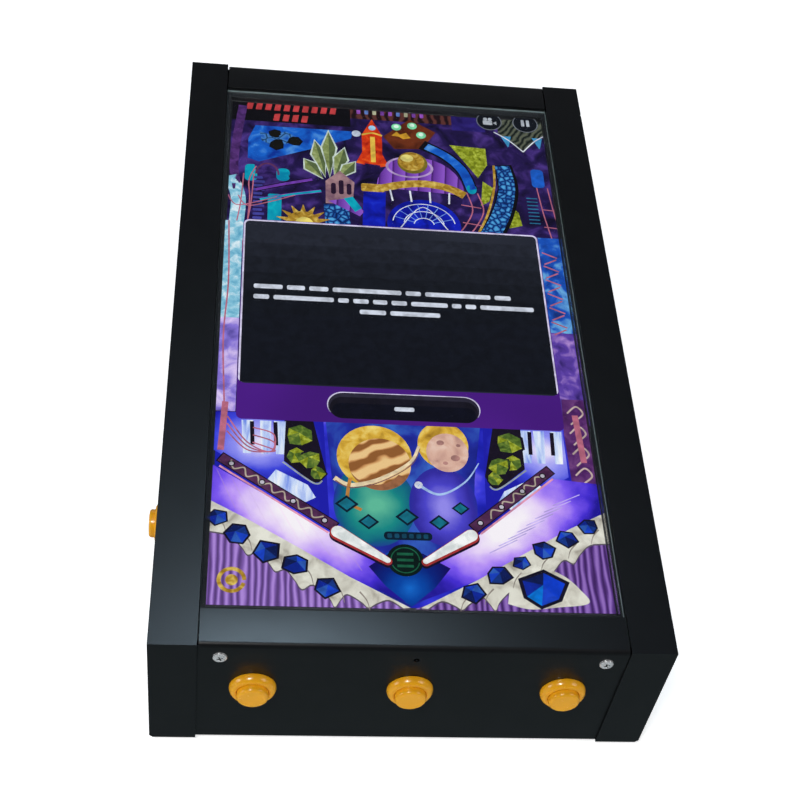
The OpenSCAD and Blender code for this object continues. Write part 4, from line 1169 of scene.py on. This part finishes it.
    def stone_outline(self, outer_x, inner_x):
        """One arm of the border: a straight upper edge and drips along the lower one."""
        upper = [(outer_x, 122), (-120, 107), (-84, 85), (-46, 61), (inner_x, 37)]
        drips = [(-8, 36.5), (-18, 43), (-27, 40), (-33, 36.5), (-38, 41), (-48, 47), (-53, 42),
                 (-57, 36.5), (-61, 44), (-72, 54), (-80, 50), (-85, 57), (-92, 66), (-99, 64), (-104, 71),
                 (-112, 80), (-119, 77), (-124, 84), (-133, 93), (outer_x, 96)]
        return upper + smooth_line(drips, 4)

    def set_stones(self, draw):
        """Cut blue stones, each in a dark seat."""
        blues = ["gem_bed", "gem_a", "gem_b", "gem_c", "gem_d", "gem_e"]
        left = [(-142, 108, 6.0), (-127, 94, 7.4), (-106, 80, 9.0), (-85, 70, 7.8), (-63, 52, 7.6)]
        right = [(136, 109, 6.0), (118, 98, 6.6), (99, 87, 6.8), (81, 76, 5.6), (63, 65, 7.4),
                 (43, 50, 7.0)]
        for i, (x, y, r) in enumerate(left + right):
            draw.gem(x, y, r, blues, 6 if i % 2 else 5, 0.7 + i * 1.3, 1.12)
        draw.lift()
        draw.gem(95, 54, 13.5, [blues[0], "gem_f", "gem_g", blues[3], blues[4], blues[5]], 6, 0.4, 1.18)
        draw.band(arc(-130, 56, 9, 9, 0, 345, 20), 3.0, "bronze_gold")
        draw.disc(-130, 56, 4.5, "bronze_gold")

    def lit_floor(self, draw):
        """Board floors on both sides, brightest next to the guides."""
        fade = [(0.0, (34, 24, 150)), (0.14, (70, 46, 214)), (0.3, (128, 90, 246)), (0.48, (194, 154, 254)),
                (0.66, (238, 216, 255)), (0.85, (255, 248, 255))]
        left = glow("floor_glow_left", (-84, 112), (92, 46), -32.0, fade)
        right = glow("floor_glow_right", (74, 108), (84, 44), 35.0, fade)
        draw.shape([(LEFT, 154), (-60, 98), (-14, 70), (-3, 40), (-50, 62), (LEFT, 118)], left)
        draw.shape([(RIGHT, 148), (112, 152), (50, 98), (12, 70), (-1, 40), (50, 62), (RIGHT, 116)], right)
        draw.lift()
        pool = glow("pool_glow", (-3, 54), (32, 30), 0.0, [(0.0, (16, 14, 96)), (0.35, (8, 36, 126)),
                                                           (0.7, (6, 70, 166)), (0.95, (20, 104, 204))])
        draw.shape([(-32, 70), (-16, 82), (8, 82), (28, 70), (16, 54), (-2, 38), (-20, 54)], pool)
        board = glow("board_line", (-84, 112), (92, 46), -32.0,
                     [(0.0, (70, 50, 190)), (0.4, (176, 136, 240)), (0.8, (255, 236, 255))])
        for i in range(9):
            x = -144 + i * 11.5
            draw.band([(x, 150 - i * 7.3), (x + 15, 116 - i * 6.2)], 0.8, board)
        for i in range(8):
            x = 62 + i * 7.5
            draw.band([(x - 4, 84 + i * 6.2), (x + 18, 96 + i * 6.0)], 0.8, "print_line")


class PINBALL_OT_flippers(bpy.types.Operator):
    """Draws the lane guides and the two flippers"""
    bl_idname = "pinball.flippers"
    bl_label = "Guides and flippers"

    def execute(self, context):
        draw = Picture("screen_guides")
        for side in (1, -1):
            line = [(-140, 160), (-57, 103)] if side > 0 else [(110, 158), (48, 105)]
            self.guide(draw, line)
        draw.finish()
        draw = Picture("screen_flippers")
        self.flipper(draw, (-54, 98), (-18, 75))
        self.flipper(draw, (45, 98), (10, 75))
        draw.finish()
        return {"FINISHED"}

    def guide(self, draw, line):
        """A dark rail with a pale scroll and domed screws."""
        (x0, y0), (x1, y1) = line
        length = math.hypot(x1 - x0, y1 - y0)
        ux, uy = (x1 - x0) / length, (y1 - y0) / length

        def along(distance, aside=0.0):
            return (x0 + ux * distance - uy * aside, y0 + uy * distance + ux * aside)
        down = 1 if x1 > x0 else -1
        draw.band([along(2, -7 * down), along(length, -7 * down)], 1.6, "tube_rose")
        draw.band([along(-3), along(length + 2)], 9.6, "night_black")
        draw.lift()
        draw.band([along(-2), along(length + 1)], 8, "guide_maroon")
        draw.lift()
        steps = int(length // 12)
        draw.band([along(6 + i * 6, 2.6 * (-1) ** i) for i in range(2 * steps - 1)], 1.2, "scroll_pale")
        draw.lift()
        for i in range(4):
            place = along(length * (0.08 + 0.28 * i))
            draw.disc(*place, 2.6, "night_black")
            draw.lift()
            draw.disc(*place, 1.7, "screw_pale")
            draw.lift()

    def flipper(self, draw, base, tip):
        """A white bat with a red rubber edge and its shadow."""
        def bat(grow, drop):
            dx, dy = tip[0] - base[0], tip[1] - base[1]
            length = math.hypot(dx, dy)
            angle = math.degrees(math.atan2(dy, dx))
            wide, narrow = 5.2 + grow, 2.4 + grow
            tilt = math.degrees(math.asin((wide - narrow) / length))
            end = arc(tip[0], tip[1] - drop, narrow, narrow, angle - 90 + tilt, angle + 90 - tilt, 10)
            start = arc(base[0], base[1] - drop, wide, wide, angle + 90 - tilt, angle + 270 + tilt, 14)
            return end + start
        draw.shape(bat(1.2, 2.6), "bat_shadow")
        draw.lift()
        draw.shape(bat(0.9, 0.9), "bat_rubber")
        draw.lift()
        draw.shape(bat(-0.2, 0), "bat_white")


class PINBALL_OT_screen_marks(bpy.types.Operator):
    """Draws the two round marks in the upper right corner"""
    bl_idname = "pinball.screen_marks"
    bl_label = "Corner marks"

    def execute(self, context):
        draw = Picture("screen_marks")
        for x in (96, 131):
            draw.disc(x, 558, 12.2, "mark_rim")
        draw.lift()
        for x in (96, 131):
            draw.disc(x, 558, 11.4, "mark_face")
        draw.lift()
        for x in (128, 133):
            draw.box(x - 1, 554, x + 2, 563, "mark_ink", 0.8)
        draw.box(90, 553, 99, 559, "mark_ink", 1)
        draw.shape([(99.5, 556), (103, 553.5), (103, 558.5)], "mark_ink")
        draw.disc(92.5, 561, 2.0, "mark_ink")
        draw.disc(97, 561, 2.0, "mark_ink")
        draw.finish()
        return {"FINISHED"}


# ---- Cabinet pieces ---------------------------------------------------------------------------

class PINBALL_OT_cabinet(bpy.types.Operator):
    """Finishes the folded steel: sides, front, lip, crossbar, rear and base"""
    bl_idname = "pinball.cabinet"
    bl_label = "Steel cabinet"

    def execute(self, context):
        coat = powder_coat()
        fold = settings().cabinet.fold_radius
        panels = [("side_panel_left", fold, 3), ("side_panel_right", fold, 3), ("front_lip", 0.25 * MM, 2),
                  ("rear_crossbar", 0.25 * MM, 2), ("front_panel", 0.2 * MM, 2),
                  ("rear_panel", 0.2 * MM, 2), ("base_plate", 0.2 * MM, 2)]
        for node, width, segments in panels:
            rounded_copy(node, f"{node}_coated", "cabinet", coat, width, segments)
        return {"FINISHED"}


class PINBALL_OT_fixings(bpy.types.Operator):
    """Finishes the screws, nuts and feet"""
    bl_idname = "pinball.fixings"
    bl_label = "Fixings"

    def execute(self, context):
        for node in ("front_screws", "rear_screws", "inlet_screws"):
            screws = rounded_copy(node, f"{node}_plated", "cabinet",
                                  finish("bright_plating"), 0.12 * MM)
            screws.data.materials.append(finish("cross_shadow"))
            self.darken_crosses(screws)
        rounded_copies([("base_screws", "base_screws_black", "screw_dark", "black_oxide", 0.15, 2),
                        ("rubber_feet", "rubber_feet_moulded", "rubber_black", "dull_rubber", 0.8, 3)])
        refinish("clinch_nuts", finish("zinc_plating"))
        return {"FINISHED"}

    def darken_crosses(self, screws):
        """Gives the walls and floor of each driver cross the shadow finish. The heads face along Y."""
        skin, shallow, deep = 0.4 * MM, 0.15 * MM, 1.6 * MM
        head_radius, cross_radius, floor_depth = 7 * MM, 4.2 * MM, 0.8 * MM
        mesh = screws.data
        outward = -1 if mesh.vertices[0].co.y < 0 else 1
        tip = max(v.co.y * outward for v in mesh.vertices)
        centres = [f.center.copy() for f in mesh.polygons]
        heads = [c for c in centres if c.y * outward > tip - skin]
        for face, centre in zip(mesh.polygons, centres):
            depth = tip - centre.y * outward
            if not shallow < depth < deep:
                continue
            near = [h for h in heads if (h.xz - centre.xz).length < head_radius]
            middle = sum((h.xz for h in near), Vector((0, 0))) / max(len(near), 1)
            wall = abs(face.normal.y) < 0.35
            floor = abs(face.normal.y) > 0.95 and depth > floor_depth
            if (wall or floor) and (centre.xz - middle).length < cross_radius:
                face.material_index = 1


class PINBALL_OT_glazing(bpy.types.Operator):
    """Finishes the glass, the frame under it and the screen's rim"""
    bl_idname = "pinball.glazing"
    bl_label = "Glass and rim"

    def execute(self, context):
        glass = rounded_copy("playfield_glass", "playfield_glass_polished", "cabinet",
                             self.clear_glass(), 0.4 * MM)
        glass.data.materials.append(self.ground_edge_painted_glow())
        up = top_frame().to_3x3() @ Vector((0, 0, 1))
        for face in glass.data.polygons:
            if abs(face.normal.dot(up)) < 0.4:
                face.material_index = 1
        self.keep_window_off(glass)
        rounded_copies([("glass_spacer", "glass_spacer_anodised", "spacer_grey", "satin_spacer", 0.3, 2),
                        ("lip_seal", "lip_seal_foam", "rubber_black", "dull_rubber", 0.3, 2),
                        ("lcd_rim", "lcd_rim_black", "rim_black", "rim_lacquer", 0.2, 2)])
        return {"FINISHED"}

    def keep_window_off(self, glass):
        """Keeps the window light's mirror image off the glass, where it would hide the picture from above."""
        group = bpy.data.collections.new("window_light_receivers")
        group.objects.link(glass)
        group.collection_objects[0].light_linking.link_state = "EXCLUDE"
        bpy.data.objects["window_light"].light_linking.receiver_collection = group

    def clear_glass(self):
        """Clear glass that lets the lamps through."""
        material, principled = shader("clear_glass", Roughness=0.02, IOR=1.45,
                                      **{"Transmission Weight": 1.0, "Base Color": (0.97, 0.99, 0.985)})
        nodes, links = material.node_tree.nodes, material.node_tree.links
        output = nodes["Material Output"]
        mix = nodes.new("ShaderNodeMixShader")
        clear = nodes.new("ShaderNodeBsdfTransparent")
        links.new(nodes.new("ShaderNodeLightPath").outputs["Is Shadow Ray"], mix.inputs["Fac"])
        links.new(principled.outputs["BSDF"], mix.inputs[1])
        links.new(clear.outputs["BSDF"], mix.inputs[2])
        links.new(mix.outputs["Shader"], output.inputs["Surface"])
        return material

    def ground_edge_painted_glow(self):
        """The glass's ground edge, with a faint painted glow as if lit a little from inside."""
        material = finish_material("ground_edge_painted_glow", (0.12, 0.16, 0.165), 0.4, 0.2, (1200.0, 0.1, 0.02), 120.0)
        principled = material.node_tree.nodes["Principled BSDF"]
        # Painted glow: a faint emission on the edge, which is no lamp.
        principled.inputs["Emission Color"].default_value = (0.55, 0.72, 0.74, 1)
        principled.inputs["Emission Strength"].default_value = 0.06
        return material


class PINBALL_OT_push_buttons(bpy.types.Operator):
    """Turns the five push buttons' rims and plungers and finishes what is behind them"""
    bl_idname = "pinball.push_buttons"
    bl_label = "Push buttons"

    def execute(self, context):
        plastic = button_plastic()
        for name in BUTTONS:
            place = button_frame(name)
            self.rim(name, place, plastic)
            self.plunger(name, place, plastic)
            self.coil(name)
            self.hidden_pieces(name)
        return {"FINISHED"}

    def radii(self, name):
        """Outer radius of the rim and radius of the plunger."""
        low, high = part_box(f"button_{name}_housing")
        return (high.z - low.z) / 2, PLUNGER_RADIUS

    def rim(self, name, place, plastic):
        """The convex rim with the barrel behind it."""
        outer, plunger = self.radii(name)
        height = settings().buttons.rim_height
        bore, pin_hole, barrel, wall = plunger + 0.08 * MM, 2.6 * MM, 13.75 * MM, 1.35 * MM
        back, floor, bore_end, foot = -24 * MM, -22 * MM, -6 * MM, 0.5 * MM
        profile = [(bore, height - 1.6 * MM), (bore, bore_end), (barrel - wall, bore_end),
                   (barrel - wall, floor), (pin_hole, floor), (pin_hole, back), (barrel, back), (barrel, 0),
                   (outer - 0.4 * MM, 0)]
        profile += arc(outer - foot, foot, foot, foot, -80, 0, 4)
        crest = plunger + 1.3 * MM
        profile += arc(crest, 0.0, (outer - crest) / math.cos(math.radians(16)), height, 16, 90, 14)
        profile += arc(crest, height - 1.0 * MM, crest - bore - 0.05 * MM, 1.0 * MM, 100, 175, 6)
        piece = turned(profile, place, ROUND_STEPS)
        hand_over(piece, f"button_{name}_rim", "cabinet", [f"button_{name}_housing"],
                  plastic)

    def plunger(self, name, place, plastic):
        """The plunger: a softly dished top, a rounded edge and a hollow skirt."""
        radius = self.radii(name)[1]
        edge = settings().buttons.edge_radius
        inverse = place.inverted()
        heights = [(inverse @ v.co).z for v in frame["nodes"][f"button_{name}_plunger"].data.vertices]
        top, stem_end = max(heights), min(heights)
        stem, boss, collar, inside = 2.4 * MM, 6.5 * MM, 12.3 * MM, radius - 1.8 * MM
        under_top, boss_end = top - 2.5 * MM, -3 * MM
        collar_front, collar_back = -6.08 * MM, -8.08 * MM
        profile = [(0, stem_end), (stem, stem_end), (stem, boss_end), (boss, boss_end), (boss, under_top),
                   (inside, under_top), (inside, collar_back), (collar, collar_back), (collar, collar_front),
                   (radius, collar_front)]
        profile += arc(radius - edge, top - edge, edge, edge, 0, 90, 10)
        profile += [(radius * 0.55, top - 0.25 * MM), (radius * 0.25, top - 0.4 * MM), (0, top - 0.45 * MM)]
        piece = turned(profile, place, ROUND_STEPS)
        hand_over(piece, f"button_{name}_cap", f"{name}_button", [f"button_{name}_plunger"],
                  plastic)

    def coil(self, name):
        """The spring: a merged copy of the node that its button's press joint names as bending."""
        joint = next(j for j in frame["record"]["behaviour"]["joints"]
                     if j["name"] == f"{name}_button_press")
        bending = joint["deforming_nodes"][0]
        piece = merged_copy(bending["node"])
        hand_over(piece, f"button_{name}_coil", "cabinet", [bending["node"]],
                  finish("zinc_plating"))
        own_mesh(piece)

    def hidden_pieces(self, name):
        """Finishes for the switch and its pin."""
        refinish(f"button_{name}_switch", finish("moulded_nylon"))
        refinish(f"button_{name}_switch_pin", finish("red_nylon"))


class PINBALL_OT_power_fittings(bpy.types.Operator):
    """Finishes the mains inlet and the rocker switch"""
    bl_idname = "pinball.power_fittings"
    bl_label = "Power fittings"

    def execute(self, context):
        rounded_copies([("mains_inlet", "mains_inlet_moulded", "moulded_black", "moulded_nylon", 0.3, 2),
                        ("power_switch_body", "power_switch_case", "moulded_black", "moulded_nylon", 0.25, 2),
                        ("inlet_pins", "inlet_pins_plated", "brass", "turned_brass", 0.2, 2)])
        rounded_copy("power_switch_rocker", "power_switch_rocker_glossy", "power_rocker",
                     finish("glossy_black"), 0.35 * MM, 3)
        return {"FINISHED"}


class PINBALL_OT_inner_works(bpy.types.Operator):
    """Gives every inner piece its finish"""
    bl_idname = "pinball.inner_works"
    bl_label = "Inner works"

    def execute(self, context):
        zinc, brass, green = finish("zinc_plating"), finish("turned_brass"), circuit_board("board_green",
                                                                                           (0.02, 0.16,
                                                                                            0.07))
        aluminium = mill_aluminium()
        yellow = bpy.data.materials.get("button_plastic") or button_plastic()
        finishes = {
            "lcd_cell": finish("cell_black"), "lcd_backlight": finish("milky_diffuser"),
            "lcd_back_plate": aluminium, "lcd_brackets": zinc, "lcd_driver_board": green, "main_board": green,
            "main_board_heatsink": aluminium, "power_supply": aluminium,
            "amplifier_board": circuit_board("board_blue", (0.02, 0.06, 0.26)),
            "button_encoder_board": circuit_board("board_black", (0.015, 0.016, 0.02)),
            "board_standoffs": brass, "speaker_baskets": finish("basket_black"),
            "speaker_cones": finish("cone_paper"), "button_nuts": yellow,
        }
        for node, material in finishes.items():
            refinish(node, material)
        return {"FINISHED"}


# ---- Stage --------------------------------------------------------------------------------------

# Name, place, size, power and colour of each lamp.
LAMPS = (
    ("key_light", (-0.8, -1.3, 2.5), (0.5, 0.5), 36.0, (1.0, 1.0, 1.0)),
    ("fill_light", (2.3, -1.2, 1.9), (1.2, 1.2), 16.0, (1.0, 1.0, 1.0)),
    ("rear_light", (0.4, 2.8, 1.0), (2.2, 0.8), 5.0, (1.0, 1.0, 1.0)),
    ("left_light", (-2.6, -0.4, 0.9), (1.2, 0.8), 16.0, (1.0, 1.0, 1.0)),
    ("window_light", (-0.05, 0.20, 2.05), (0.36, 0.22), 7.9, (0.62, 0.83, 1.0)),
)
CABINET_MIDDLE = Vector((0, 0, 0.1))
CAMERA_TARGET = Vector((10.6 * MM, 0.4 * MM, 65.0 * MM))


class PINBALL_OT_stage(bpy.types.Operator):
    """Sets the floor, the lights and the camera"""
    bl_idname = "pinball.stage"
    bl_label = "Stage"

    def execute(self, context):
        self.floor()
        self.world()
        for name, place, size, power, colour in LAMPS:
            self.lamp(name, place, size, power, colour)
        self.camera()
        bpy.context.scene.view_settings.view_transform = "Standard"
        return {"FINISHED"}

    def floor(self):
        """A wide pale floor."""
        bpy.ops.object.select_all(action="DESELECT")
        bpy.ops.mesh.primitive_plane_add(size=12.0, location=(0, 1.5, 0))
        floor = bpy.context.object
        floor.name = "floor"
        material = finish_material("pale_floor", (0.86, 0.86, 0.86), 0.6, 0.01, (60.0, 0.01, 0.1), 2.0)
        principled = material.node_tree.nodes["Principled BSDF"]
        principled.inputs["Emission Color"].default_value = (1.0, 1.0, 1.0, 1)
        principled.inputs["Emission Strength"].default_value = 0.7
        floor.data.materials.append(material)
        floor.visible_glossy = False

    def world(self):
        """Soft dim surroundings behind a plain pale backdrop."""
        world = bpy.data.worlds.new("studio")
        world.use_nodes = True
        nodes, links = world.node_tree.nodes, world.node_tree.links
        split = nodes.new("ShaderNodeSeparateXYZ")
        links.new(nodes.new("ShaderNodeTexCoord").outputs["Generated"], split.inputs["Vector"])
        shade = nodes.new("ShaderNodeValToRGB")
        stops = shade.color_ramp.elements
        stops[0].position, stops[0].color = 0.0, (0.105, 0.14, 0.15, 1)
        stops[1].position, stops[1].color = 0.12, (0.034, 0.036, 0.041, 1)
        links.new(split.outputs["Z"], shade.inputs["Fac"])
        links.new(shade.outputs["Color"], nodes["Background"].inputs["Color"])
        backdrop = nodes.new("ShaderNodeBackground")
        backdrop.inputs["Color"].default_value = (0.80, 0.80, 0.80, 1)
        seen = nodes.new("ShaderNodeMixShader")
        links.new(nodes.new("ShaderNodeLightPath").outputs["Is Camera Ray"], seen.inputs["Fac"])
        links.new(nodes["Background"].outputs["Background"], seen.inputs[1])
        links.new(backdrop.outputs["Background"], seen.inputs[2])
        links.new(seen.outputs["Shader"], nodes["World Output"].inputs["Surface"])
        bpy.context.scene.world = world

    def lamp(self, name, place, size, power, colour):
        """A soft rectangular lamp aimed at the cabinet."""
        bpy.ops.object.select_all(action="DESELECT")
        bpy.ops.object.light_add(type="AREA", location=place)
        lamp = bpy.context.object
        lamp.name = name
        lamp.data.shape = "RECTANGLE"
        lamp.data.size, lamp.data.size_y = size
        lamp.data.energy = power
        lamp.data.color = colour
        aim = CABINET_MIDDLE - Vector(place)
        lamp.rotation_euler = aim.to_track_quat("-Z", "Y").to_euler()

    def camera(self):
        """A camera above the front, turned and rolled a little."""
        stage = settings().stage
        azimuth, elevation, roll = stage.azimuth, stage.elevation, stage.roll
        back = Vector((math.sin(azimuth) * math.cos(elevation), -math.cos(azimuth) * math.cos(elevation),
                       math.sin(elevation)))
        right = (-back).cross(Vector((0, 0, 1))).normalized()
        up = right.cross(-back)
        turned_right = right * math.cos(roll) + up * math.sin(roll)
        turned_up = up * math.cos(roll) - right * math.sin(roll)
        bpy.ops.object.select_all(action="DESELECT")
        bpy.ops.object.camera_add()
        camera = bpy.context.object
        camera.name = "camera"
        camera.data.lens = stage.lens
        camera.data.sensor_width = 36.0
        axes = Matrix((turned_right, turned_up, back)).transposed().to_4x4()
        camera.matrix_world = Matrix.Translation(CAMERA_TARGET + back * stage.distance) @ axes
        bpy.context.scene.camera = camera


class PINBALL_PT_looks(bpy.types.Panel):
    """Lists the steps of the build."""
    bl_idname = "PINBALL_PT_looks"
    bl_label = "Pinball cabinet"
    bl_space_type = "VIEW_3D"
    bl_region_type = "UI"
    bl_category = "Pinball"

    def draw(self, context):
        for step in STEPS:
            self.layout.operator(step.bl_idname)


STEPS = (
    PINBALL_OT_stage, PINBALL_OT_cabinet, PINBALL_OT_fixings, PINBALL_OT_push_buttons,
    PINBALL_OT_power_fittings, PINBALL_OT_glazing, PINBALL_OT_inner_works, PINBALL_OT_backdrop,
    PINBALL_OT_upper_field, PINBALL_OT_lower_field, PINBALL_OT_flippers, PINBALL_OT_message,
    PINBALL_OT_screen_marks,
)
GROUPS = (CabinetSettings, ButtonSettings, ScreenSettings, StageSettings, PinballLooks)
CLASSES = GROUPS + STEPS + (PINBALL_PT_looks,)


def register():
    for cls in CLASSES:
        bpy.utils.register_class(cls)
    bpy.types.Scene.pinball_looks = PointerProperty(type=PinballLooks)


def unregister():
    del bpy.types.Scene.pinball_looks
    for cls in reversed(CLASSES):
        bpy.utils.unregister_class(cls)


def main():
    """Builds every piece."""
    register()
    for step in STEPS:
        group, name = step.bl_idname.split(".")
        getattr(getattr(bpy.ops, group), name)()


if __name__ == "__main__":
    main()
